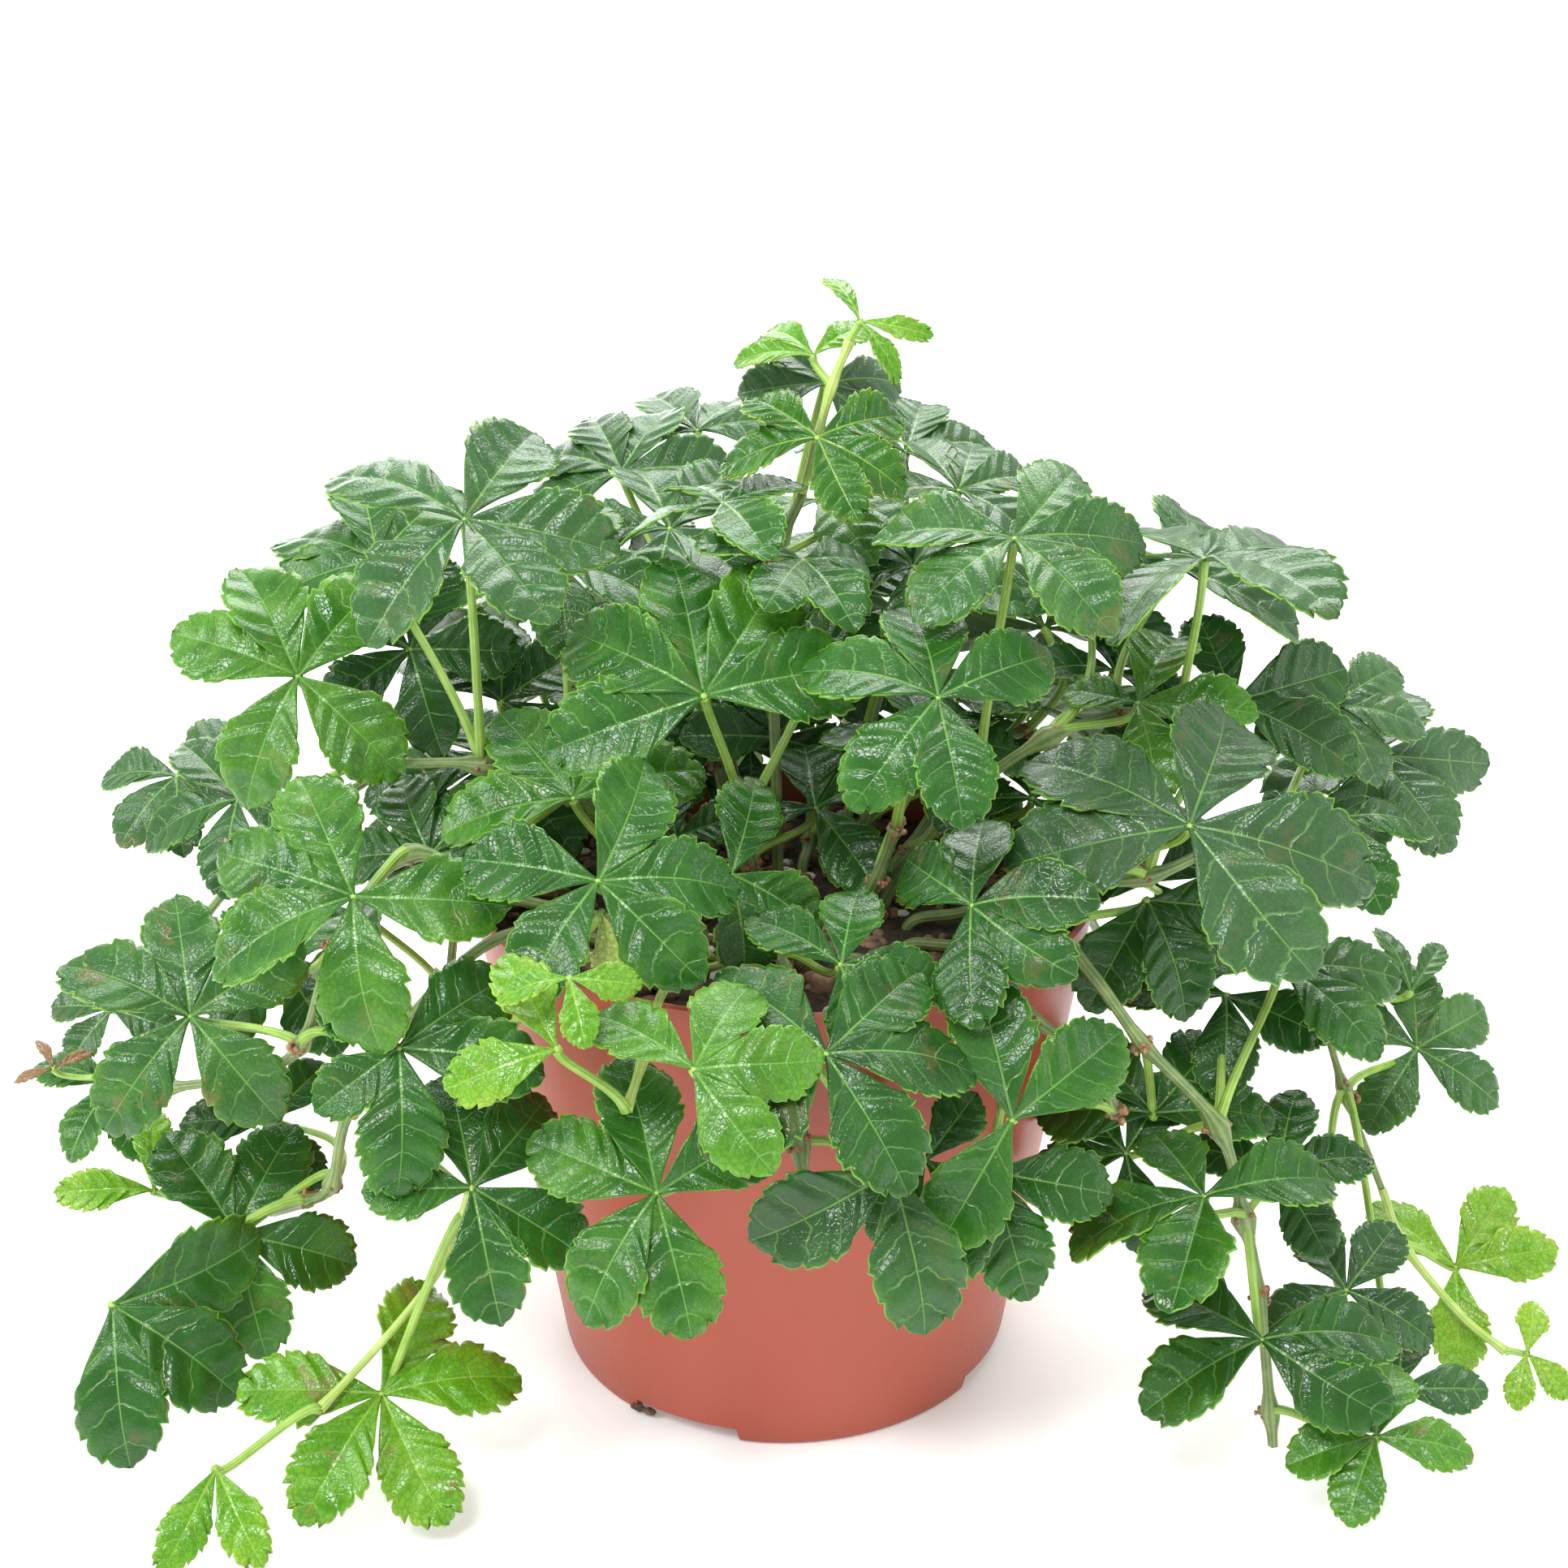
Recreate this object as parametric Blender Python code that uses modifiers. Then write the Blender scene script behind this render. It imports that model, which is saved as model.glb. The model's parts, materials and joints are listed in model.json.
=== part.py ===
"""Potted miniature grape ivy: a thin plastic nursery pot, its soil, and the leafy stems that grow from it.

The pot stands on the XY plane with its axis on Z, and the front of the plant is -Y.
Sizes are in millimetres, and MM makes metres of them where a mesh is built.
"""
import math
import random

import bmesh
import bpy
from mathutils import Vector
from mathutils.bvhtree import BVHTree

MM = 0.001

# Pot
POT_TOP_R = 70.0
POT_FLARE_R = 68.4
POT_FLARE_Z = 105.0
POT_FOOT_R = 53.0
POT_HEIGHT = 116.0
POT_WALL = 1.5
FOOT_RING = 2.8
FLOOR_UNDER = 5.0
FLOOR_TOP = 6.6
TURNED_STEPS = 32
NOTCH_COUNT = 4
NOTCH_FIRST_DEG = -115.0
NOTCH_WIDTH = 27.0
NOTCH_HEIGHT = 3.6
DRAIN_CENTRE_R = 4.0
DRAIN_R = 3.0
DRAIN_CIRCLE_R = 34.0
DRAIN_COUNT = 6

# Soil
SOIL_GAP = 0.3
SOIL_EDGE_Z = 103.0
SOIL_MID_Z = 106.0
SOIL_CROWN_R = 40.0
SOIL_CROWN_Z = 105.5
HOLE_BOTTOM = 92.0
HOLE_R = 2.1
HOLE_SIDES = 6

# Stems have four sides and petioles three, with their corners at these radii
STEM_R = 1.5
PETIOLE_R = 1.4
PETIOLE_SIDES = 3
PETIOLE_STEPS = 3
LONG_PETIOLE = 32.0
PETIOLE_RISE = 0.3
PETIOLE_STRAIGHT = 0.45
STRAIGHT_MOST = 14.0
LIFT_AT_STEM = 0.6
SPAN_AT_STEM = 0.15
BOW_AT_HUB = 0.6
EARLY_BEND = 0.85
STEM_FOOT = HOLE_BOTTOM + 0.3
STEM_CLEAR_Z = 107.0
FOOT_SHARE = 0.7
JOIN_GAP = 0.3
JOIN_STRAIGHT = 3.0

# Leaflets, as shares of their length
BLADE_THICK = 0.8
WIDE_AT = 0.62
HALF_WIDTH = 0.33
BLUNT_AT = 0.94
HALF_BLUNT = 0.17
DROOP = 0.13
CUP = 0.05
SIDE_GAP = 0.02
WIDE_GAP = 1.2
NOTCH_R = 3.2
LEAST_GAP = math.radians(44)
OPEN_GAP = math.radians(115)
OPEN_STEP = math.radians(80)

# Room kept between pieces that grow past each other, and above the floor
CLEAR = 1.4
OWN_CLEAR = 0.3
FLOOR_CLEAR = 0.8

# The leaves turn to the light in front of the pot, and are laid out as seen from this point
EYE = Vector((0.0, -452.0, 314.0))
LEAST_FACING = 0.2

# What a leaf may give way by: a turn of its face, a shift along the sight line, a smaller size.
# A turn and a loss of size cost as much as a shift by these distances
TURNS = ((0, 0), (0, 0.3), (0.3, 0), (-0.3, 0), (0, -0.3), (0.5, 0.3), (-0.5, 0.3), (0, 0.7))
SHIFTS = (0, -4, 4, -8, 8, -12, 12, -17, 17, -22, 22, -28, 28)
SIZES = (1, 0.9, 0.8)
TURN_COST = 16
SIZE_COST = 90
CHOICES = sorted(((turn, shift, size) for turn in TURNS for shift in SHIFTS for size in SIZES),
                 key=lambda c: (TURN_COST * (abs(c[0][0]) + abs(c[0][1])) + abs(c[1])
                                + SIZE_COST * (1 - c[2])))

# How far a petiole may bow to one side and up on its way
BOWS = ((0, 0), (6, 0), (-6, 0), (0, 6), (0, -6), (12, 0), (-12, 0), (12, 8), (-12, 8), (0, 14))


def leaf(at, hub, face, reach, hours, width=1.0):
    """A leaf on stem point `at`. Its face turns right and up from the eye, its leaflets point to `hours`."""
    return {"at": at, "hub": Vector(hub), "face": face, "reach": reach, "hours": hours, "width": width}


def stem(points, leaves, grows_from=None):
    """A stem through `points`, out of the soil or out of the end of another stem."""
    return {"points": [Vector(p) for p in points], "leaves": leaves, "grows_from": grows_from}


STEMS = {
    "stem_top": stem([(-2, 12, 140), (-3, 10, 168), (-2, 10, 186), (4, 10, 201)], [
        leaf(1, (9, 25, 222), (0.2, 0.6), 19, (8.8, 10.2, 2.6, 4.2)),
        leaf(2, (-13, -2, 202), (-0.2, 2.2), 23, (8.8, 10.4, 2.3, 4.5)),
        leaf(2, (8, 25, 196), (0.3, 1.6), 24, (3.3, 4.3, 2.2, 8.6)),
        leaf(1, (4, -4, 190), (0.2, 1.8), 22, (2.8, 4.6, 9.4, 7.4)),
    ]),
    "stem_back_left": stem([(-16, 34, 130), (-22, 42, 156), (-27, 50, 174)], [
        leaf(1, (-39, 60, 194), (-0.3, 1.0), 27, (8.4, 9.7, 11.2, 0.8, 2.6)),
        leaf(2, (-21, 70, 202), (0.1, 1.6), 26, (8.8, 10.5, 1.5, 2.9)),
        leaf(0, (-26, 30, 188), (0.0, 1.0), 26, (9.0, 11.3, 1.6, 4.0, 6.5)),
    ]),
    "stem_back_right": stem([(18, 32, 130), (25, 38, 154), (31, 43, 170)], [
        leaf(2, (29, 60, 199), (0.2, 1.3), 27, (1.0, 2.3, 3.4, 9.5, 7.2)),
        leaf(1, (41, 50, 192), (0.3, 1.4), 25, (2.6, 4.0, 9.0, 10.6, 0.5)),
        leaf(0, (29, 20, 182), (0.1, 0.9), 26, (8.6, 10.8, 1.2, 3.6, 6.0)),
    ]),
    "stem_left_upper": stem([(-32, -1, 124), (-47, -4, 137), (-66, -8, 145), (-88, -10, 146)], [
        leaf(2, (-65, -20, 203), (-0.1, 0.9), 31, (9.9, 7.6, 1.2, 3.5, 4.6)),
        leaf(3, (-104, -10, 166), (-0.1, 0.25), 29, (9.7, 11.2, 1.2, 4.4, 6.9)),
        leaf(2, (-89, 10, 186), (-0.3, 0.8), 28, (8.8, 10.0, 11.5, 1.3)),
        leaf(0, (-65, 6, 140), (-0.2, 1.1), 30, (8.7, 10.6, 7.2, 4.4)),
        leaf(1, (-64, 14, 152), (0.1, 0.5), 25, (0.0, 1.9, 10.2, 4.0)),
        leaf(1, (-50, 20, 183), (-0.1, 1.0), 25, (8.6, 10.8, 1.2, 3.6, 6.0)),
    ]),
    "stem_left_far": stem([(-44, 18, 120), (-66, 26, 132), (-90, 34, 130), (-114, 38, 114), (-134, 38, 98),
                           (-148, 30, 82)], [
        leaf(3, (-150, 50, 120), (-0.2, 0.7), 21, (9.5, 7.5, 1.5, 5.9, 3.4)),
        leaf(2, (-130, 30, 122), (-0.2, 0.6), 24, (8.5, 6.4, 3.8, 0.5, 10.5)),
        leaf(2, (-84, 15, 164), (-0.1, 0.6), 24, (8.0, 10.2, 0.6, 3.0, 5.4)),
        leaf(0, (-75, 12, 125), (-0.1, 0.6), 23, (7.6, 10.0, 5.0)),
        leaf(5, (-163, 20, 71), (-0.3, 0.5), 16, (9.2, 10.9, 7.4, 3.6, 1.4)),
    ]),
    "stem_left_mid": stem([(-40, -20, 114), (-60, -30, 124), (-78, -36, 136), (-95, -36, 114),
                           (-105, -32, 89), (-120, -22, 76), (-142, -10, 66)], [
        leaf(2, (-85, -60, 137), (-0.1, 0.35), 30, (11.2, 9.7, 8.3, 5.9, 3.1)),
        leaf(4, (-77, -65, 106), (0.0, 0.25), 28, (10.2, 1.7, 3.2, 5.8, 7.8)),
        leaf(4, (-129, -30, 95), (-0.1, 0.2), 29, (11.8, 10.0, 7.4, 4.6, 1.8)),
        leaf(3, (-113, -6, 95), (-0.2, 0.6), 24, (11.0, 1.2, 5.0, 7.6)),
        leaf(6, (-158, 0, 62), (-0.2, 0.4), 20, (7.2, 9.6, 5.2)),
        leaf(6, (-170, -4, 68), (-0.2, 0.4), 9, (8.6, 11.2, 2.0)),
    ]),
    "stem_left_low": stem([(-34, -30, 112), (-56, -43, 121), (-74, -47, 108), (-92, -46, 82),
                           (-99, -40, 59), (-108, -26, 46), (-119, -15, 36)], [
        leaf(3, (-63, -72, 78), (0.1, 0.3), 26, (5.5, 4.0, 1.3, 11.6, 9.0)),
        leaf(4, (-124, -30, 40), (0.0, 0.2), 28, (10.9, 0.8, 3.4, 5.4)),
        leaf(5, (-145, -55, 38), (-0.1, 0.15), 33, (2.4, 4.0, 5.7)),
    ]),
    "stem_front_left": stem([(-26, -18, 112), (-32, -32, 119)], [
        leaf(0, (-45, -20, 142), (-0.1, 0.5), 28, (10.7, 8.7, 0.9, 2.4)),
        leaf(1, (-36, -66, 143), (0.0, 0.3), 27, (9.5, 0.9, 2.9, 4.4, 7.2)),
    ]),
    "stem_front": stem([(0, -38, 112), (1, -67, 122), (2, -78, 113), (3, -82, 94), (5, -84, 80)], [
        leaf(1, (8, -84, 115), (0.1, 0.3), 29, (10.4, 1.6, 3.0, 4.8, 7.6)),
        leaf(1, (-17, -90, 115), (-0.1, 0.5), 23, (10.1, 2.9, 4.8, 0.9)),
        leaf(3, (-24, -98, 93), (0.0, 0.15), 27, (9.7, 11.6, 1.9, 5.5, 7.2)),
        leaf(2, (21, -90, 93), (0.1, 0.1), 30, (5.6, 8.0)),
        leaf(0, (11, -70, 127), (0.1, 0.5), 21, (5.5, 3.3, 10.0, 0.4)),
    ]),
    "stem_centre": stem([(-8, -8, 122), (-9, -14, 134)], [
        leaf(1, (-16, -40, 172), (0.0, 0.25), 33, (8.4, 10.1, 11.6, 1.0, 2.5)),
        leaf(0, (-11, -40, 133), (0.0, 0.3), 26, (0.6, 3.8, 5.6, 8.8)),
        leaf(0, (7, -6, 134), (0.0, 0.7), 25, (11.6, 4.6, 2.2, 8.6)),
        leaf(1, (8, 8, 177), (0.1, 0.8), 26, (9.4, 11.6, 2.0, 4.4, 7.0)),
    ]),
    "stem_centre_right": stem([(20, -18, 122), (24, -22, 136)], [
        leaf(1, (30, -50, 175), (0.1, 0.7), 27, (9.6, 11.7, 2.2, 7.3, 5.6)),
        leaf(0, (33, -8, 150), (0.1, 0.8), 26, (9.4, 11.2, 1.0, 3.0, 5.4)),
    ]),
    "stem_right_upper": stem([(32, 0, 124), (43, -2, 138), (58, -2, 149), (74, 2, 153), (88, 4, 153)], [
        leaf(1, (47, -20, 199), (0.1, 0.9), 28, (9.3, 7.8, 1.4, 2.8, 4.4)),
        leaf(4, (88, -10, 192), (0.1, 4.2), 36, (2.6, 3.5, 8.4, 9.1, 9.7)),
        leaf(2, (76, -10, 160), (0.2, 1.0), 25, (9.5, 3.2, 0.9, 5.4)),
        leaf(3, (90, 30, 179), (0.3, 1.2), 31, (3.7, 2.3, 0.6, 9.2)),
        leaf(2, (68, 25, 174), (0.2, 0.9), 25, (9.0, 11.4, 1.8, 4.2)),
    ]),
    "stem_right": stem([(40, -13, 112), (58, -21, 122), (77, -28, 127), (96, -16, 130), (112, 2, 127),
                        (124, 14, 115)], [
        leaf(1, (81, -50, 148), (0.1, 0.6), 37, (10.1, 8.6, 0.6, 3.4, 4.6)),
        leaf(2, (39, -40, 126), (0.0, 0.3), 25, (10.4, 11.8, 3.0, 4.4, 5.8)),
        leaf(2, (99, 0, 157), (0.2, 0.5), 30, (11.3, 2.4, 3.9, 8.4)),
        leaf(4, (126, 20, 149), (0.3, 0.7), 22, (3.3, 4.9, 1.9, 8.0)),
        leaf(5, (139, 30, 133), (0.3, 0.8), 28, (3.2, 4.5, 6.2, 8.4, 0.8)),
        leaf(3, (126, 10, 125), (0.2, 0.5), 23, (5.0, 7.4, 2.8)),
    ]),
    "stem_right_runner": stem([(38, -30, 112), (55, -44, 121), (63, -52, 116), (74, -54, 101),
                               (91, -53, 81), (98, -54, 59), (102, -57, 42), (106, -60, 14),
                               (107, -61, 6)], [
        leaf(4, (107, -30, 107), (0.2, 0.8), 27, (9.4, 3.0, 4.3, 0.6)),
        leaf(4, (98, -20, 95), (0.1, 0.5), 23, (9.4, 3.8, 6.0)),
        leaf(1, (79, -20, 118), (0.1, 0.3), 26, (7.0, 5.2, 3.2)),
        leaf(3, (79, -44, 79), (0.0, 0.4), 25, (1.4, 9.2, 2.9, 10.6)),
        leaf(5, (85, -72, 76), (0.1, 1.0), 29, (8.6, 10.9, 2.6, 6.5)),
        leaf(5, (100, -70, 40), (0.1, 0.5), 28, (10.0, 8.2, 2.7, 4.2)),
        leaf(7, (123, -80, 23), (0.1, 0.5), 19, (8.6, 6.9, 0.5, 3.2)),
    ]),
    "stem_right_front": stem([(20, -40, 112), (35, -61, 121), (48, -68, 115), (61, -68, 104),
                              (67, -66, 92)], [
        leaf(4, (45, -76, 96), (0.1, 0.2), 28, (11.5, 1.7, 7.0)),
        leaf(2, (41, -74, 83), (0.1, 0.3), 25, (5.3, 7.0, 3.4)),
    ]),
    "stem_right_thin": stem([(52, 6, 119), (74, 10, 130), (96, 10, 124), (113, 4, 104), (124, 0, 82),
                             (130, -8, 64), (138, -18, 44)], [
        leaf(5, (153, 15, 63), (0.3, 0.4), 23, (12.0, 1.9, 10.0, 7.0, 4.0)),
        leaf(4, (153, 25, 73), (0.3, 0.4), 18, (11.7, 0.9), 0.6),
        leaf(5, (125, -42, 33), (0.1, 0.4), 20, (11.0, 1.3, 3.8, 8.4)),
        leaf(5, (133, -60, 20), (0.1, 0.5), 19, (3.0, 0.4, 9.6)),
    ]),
    "shoot_top": stem([(7, 10, 212), (10, 9, 224), (14, 10, 234)], [
        leaf(0, (7, 2, 215), (0.0, 0.9), 21, (10.2, 8.9, 2.2, 3.8, 4.9)),
        leaf(1, (6, 8, 231), (-0.2, 1.4), 17, (10.1, 9.1, 1.8), 0.8),
        leaf(2, (16, 10, 238), (0.1, 0.9), 15, (10.9, 3.3, 4.5), 0.6),
    ], grows_from="stem_top"),
    "shoot_left": stem([(-22, -38, 112), (-43, -56, 121), (-54, -62, 110), (-62, -62, 88),
                        (-67, -60, 64), (-74, -58, 48), (-86, -63, 34), (-97, -76, 27)], [
        leaf(4, (-84, -75, 30), (0.0, 0.4), 29, (9.1, 0.8, 2.6, 5.1, 7.1)),
        leaf(7, (-114, -95, 27), (0.0, 0.4), 21, (5.0, 6.8), 0.8),
    ]),
    "shoot_front": stem([(-14, -40, 112), (-23, -67, 121), (-27, -80, 112), (-30, -88, 105)], [
        leaf(3, (-42, -95, 122), (0.0, 0.3), 21, (11.0, 8.4)),
        leaf(2, (-40, -88, 133), (0.0, 0.6), 13, (8.7, 3.2, 5.4)),
    ]),
    "shoot_left_low": stem([(-128, -16, 36), (-136, -20, 42)], [
        leaf(1, (-143, -25, 48), (0.0, 0.3), 21, (11.8, 9.0), 0.8),
    ], grows_from="stem_left_low"),
    "shoot_right": stem([(142, -26, 34), (152, -40, 25), (160, -48, 21)], [
        leaf(0, (153, -30, 31), (0.1, 0.3), 23, (10.3, 1.1, 2.6, 6.1)),
        leaf(2, (164, -50, 22), (0.1, 0.3), 12, (0.5, 4.4, 6.6)),
    ], grows_from="stem_right_thin"),
}

# Stems of the back, set out by a rule: how many, their bearings, and the rise and fall of each.
# A leaf there stands this far out and up from its stem, turned this far from the stem's bearing
BACK_SEED = 11
BACK_COUNT = 6
BACK_FIRST_DEG = 28.0
BACK_LAST_DEG = 160.0
BACK_RISE = ((32, 114), (48, 130), (64, 138), (80, 124), (86, 98), (87, 72))
BACK_SHORT = 4
BACK_SWING = 0.05
BACK_WAVER = 3.0
BACK_OUT = (-6, 26)
BACK_UP = (6, 46)
BACK_TURN = (-0.9, 0.9)
BACK_TILT_DEG = (12, 30)
BACK_LEAN_DEG = 32.0
BACK_LEAN_R = 130.0
BACK_LEAFLETS = (4, 5, 5, 5)
BACK_REACH = (24, 30)
BACK_DEPTH = 117.5
BACK_TRIES = 100


def remove_everything():
    for thing in list(bpy.data.objects):
        bpy.data.objects.remove(thing, do_unlink=True)


def new_collection(name):
    collection = bpy.data.collections.new(name)
    bpy.context.scene.collection.children.link(collection)
    return collection


def material(name, colour, roughness):
    made = bpy.data.materials.new(name)
    made.use_nodes = True
    shader = made.node_tree.nodes["Principled BSDF"]
    shader.inputs["Base Color"].default_value = (*colour, 1.0)
    shader.inputs["Roughness"].default_value = roughness
    return made


def place(name, mesh, collection, surface=None):
    thing = bpy.data.objects.new(name, mesh)
    if surface:
        mesh.materials.clear()
        mesh.materials.append(surface)
    collection.objects.link(thing)
    return thing


def mesh_of(name, points, faces):
    mesh = bpy.data.meshes.new(name)
    mesh.from_pydata([Vector(p) * MM for p in points], [], faces)
    return mesh


def applied(thing):
    """The mesh that the object's modifiers make, with the object itself removed."""
    depsgraph = bpy.context.evaluated_depsgraph_get()
    mesh = bpy.data.meshes.new_from_object(thing.evaluated_get(depsgraph))
    bpy.data.objects.remove(thing, do_unlink=True)
    return mesh


def weld(mesh):
    shape = bmesh.new()
    shape.from_mesh(mesh)
    bmesh.ops.remove_doubles(shape, verts=shape.verts, dist=0.00002)
    bmesh.ops.recalc_face_normals(shape, faces=shape.faces)
    shape.to_mesh(mesh)
    shape.free()


def keep_outer(mesh):
    """Fills what the union sealed in and drops its scraps, by keeping the largest connected skin only."""
    shape = bmesh.new()
    shape.from_mesh(mesh)
    left = set(shape.verts)
    skins = []
    while left:
        skin = {left.pop()}
        edge = list(skin)
        while edge:
            near = {e.other_vert(v) for v in edge for e in v.link_edges} - skin
            skin |= near
            edge = list(near)
        left -= skin
        skins.append(skin)
    skins.sort(key=len)
    for skin in skins[:-1]:
        bmesh.ops.delete(shape, geom=list(skin), context="VERTS")
    shape.to_mesh(mesh)
    shape.free()


def cylinder_cutter(name, radius, sides, low, high, x, y, collection):
    mesh = bpy.data.meshes.new(name)
    shape = bmesh.new()
    bmesh.ops.create_cone(shape, cap_ends=True, segments=sides, radius1=radius * MM, radius2=radius * MM,
                          depth=(high - low) * MM)
    shape.to_mesh(mesh)
    shape.free()
    cutter = place(name, mesh, collection)
    cutter.location = Vector((x, y, (low + high) / 2)) * MM
    hide_cutter(cutter)


def hide_cutter(cutter):
    cutter.hide_render = True
    cutter.display_type = "WIRE"


def turned(name, profile, collection, surface):
    """A turned body, from a profile of (radius, height) points that runs down its outer side."""
    points = [(r, 0, z) for r, z in profile]
    edges = [(i, i + 1) for i in range(len(points) - 1)]
    if profile[0][0] > 0 and profile[-1][0] > 0:
        edges.append((len(points) - 1, 0))
    mesh = bpy.data.meshes.new(name)
    mesh.from_pydata([Vector(p) * MM for p in points], edges, [])
    body = place(name, mesh, collection, surface)
    screw = body.modifiers.new("turn", "SCREW")
    screw.steps = TURNED_STEPS
    screw.render_steps = TURNED_STEPS
    screw.use_merge_vertices = True
    screw.merge_threshold = 0.00001
    return body


def cut(body, cutters):
    boolean = body.modifiers.new("cut", "BOOLEAN")
    boolean.operation = "DIFFERENCE"
    boolean.operand_type = "COLLECTION"
    boolean.collection = cutters
    boolean.solver = "EXACT"


def pot_inner_radius(z):
    """The pot's inner radius at height z, up its straight side and its flared rim."""
    if z < POT_FLARE_Z:
        share = z / POT_FLARE_Z
        return POT_FOOT_R + (POT_FLARE_R - POT_FOOT_R) * share - POT_WALL
    share = (z - POT_FLARE_Z) / (POT_HEIGHT - POT_FLARE_Z)
    return POT_FLARE_R + (POT_TOP_R - POT_FLARE_R) * share - POT_WALL


def pot_profile():
    return [
        (POT_TOP_R, POT_HEIGHT),
        (POT_FLARE_R, POT_FLARE_Z),
        (POT_FOOT_R, 0),
        (POT_FOOT_R - FOOT_RING, 0),
        (POT_FOOT_R - FOOT_RING, FLOOR_UNDER),
        (DRAIN_CENTRE_R, FLOOR_UNDER),
        (DRAIN_CENTRE_R, FLOOR_TOP),
        (pot_inner_radius(FLOOR_TOP), FLOOR_TOP),
        (pot_inner_radius(POT_FLARE_Z), POT_FLARE_Z),
        (pot_inner_radius(POT_HEIGHT), POT_HEIGHT),
    ]


def make_pot(parts, surface):
    cutters = new_collection("pot_cutters")
    for i in range(NOTCH_COUNT):
        bearing = math.radians(NOTCH_FIRST_DEG + 360 * i / NOTCH_COUNT)
        mesh = bpy.data.meshes.new("foot_notch")
        shape = bmesh.new()
        bmesh.ops.create_cube(shape, size=MM)
        shape.to_mesh(mesh)
        shape.free()
        notch = place("foot_notch", mesh, cutters)
        notch.scale = (3 * FOOT_RING, NOTCH_WIDTH, 2 * NOTCH_HEIGHT)
        notch.rotation_euler = (0, 0, bearing)
        notch.location = Vector((math.cos(bearing), math.sin(bearing), 0)) * (POT_FOOT_R - FOOT_RING / 2) * MM
        hide_cutter(notch)
    for i in range(DRAIN_COUNT):
        bearing = 2 * math.pi * i / DRAIN_COUNT
        cylinder_cutter("drain", DRAIN_R, 8, FLOOR_UNDER - 2, FLOOR_TOP + 2,
                        DRAIN_CIRCLE_R * math.cos(bearing), DRAIN_CIRCLE_R * math.sin(bearing), cutters)
    pot = turned("pot", pot_profile(), parts, surface)
    cut(pot, cutters)


def make_soil(parts, surface, feet):
    cutters = new_collection("soil_cutters")
    for x, y in feet:
        cylinder_cutter("stem_hole", HOLE_R, HOLE_SIDES, HOLE_BOTTOM, SOIL_MID_Z + 10, x, y, cutters)
    low = FLOOR_TOP + SOIL_GAP
    profile = [
        (0, SOIL_MID_Z),
        (SOIL_CROWN_R, SOIL_CROWN_Z),
        (pot_inner_radius(SOIL_EDGE_Z) - SOIL_GAP, SOIL_EDGE_Z),
        (pot_inner_radius(low) - SOIL_GAP, low),
        (0, low),
    ]
    soil = turned("soil", profile, parts, surface)
    cut(soil, cutters)


def sight_axes(place_of):
    """Right, up and towards the eye, at a place."""
    towards = (EYE - place_of).normalized()
    right = Vector((1, 0, 0))
    right = (right - towards * towards.dot(right)).normalized()
    return right, towards.cross(right), towards


def spread(angles):
    """The sorted angles, pushed apart until no two leaflets are closer than the least gap."""
    angles = sorted(a % (2 * math.pi) for a in angles)
    count = len(angles)
    for _ in range(60):
        for i in range(count):
            j = (i + 1) % count
            lack = LEAST_GAP - (angles[j] - angles[i]) % (2 * math.pi)
            if lack > 0:
                angles[i] -= lack / 2
                angles[j] += lack / 2
    return sorted(a % (2 * math.pi) for a in angles)


def pose_leaf(leaf_plan, shift, turn, size):
    """The leaf's hub, its plane's axes, and its leaflets' angles, moved along the sight line and turned."""
    hub = leaf_plan["hub"] + sight_axes(leaf_plan["hub"])[2] * shift
    right, up, towards = sight_axes(hub)
    face_right = leaf_plan["face"][0] + turn[0]
    face_up = leaf_plan["face"][1] + turn[1]
    normal = (towards + right * face_right + up * face_up).normalized()
    across = (right - normal * normal.dot(right)).normalized()
    along = normal.cross(across)
    angles = []
    for hour in leaf_plan["hours"]:
        bearing = math.radians(30 * hour)
        seen = right * math.sin(bearing) + up * math.cos(bearing)
        depth = -normal.dot(seen) / max(normal.dot(towards), LEAST_FACING)
        way = seen + towards * depth
        angles.append(math.atan2(way.dot(along), way.dot(across)))
    return {"hub": hub, "normal": normal, "across": across, "along": along, "angles": spread(angles),
            "reach": leaf_plan["reach"] * size, "width": leaf_plan["width"]}


def leaf_point(posed, angle, out, side, height):
    """A point `out` along a leaflet, `side` across it and `height` above the leaf's plane."""
    way = posed["across"] * math.cos(angle) + posed["along"] * math.sin(angle)
    beside = posed["along"] * math.cos(angle) - posed["across"] * math.sin(angle)
    return posed["hub"] + way * out + beside * side + posed["normal"] * height


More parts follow.
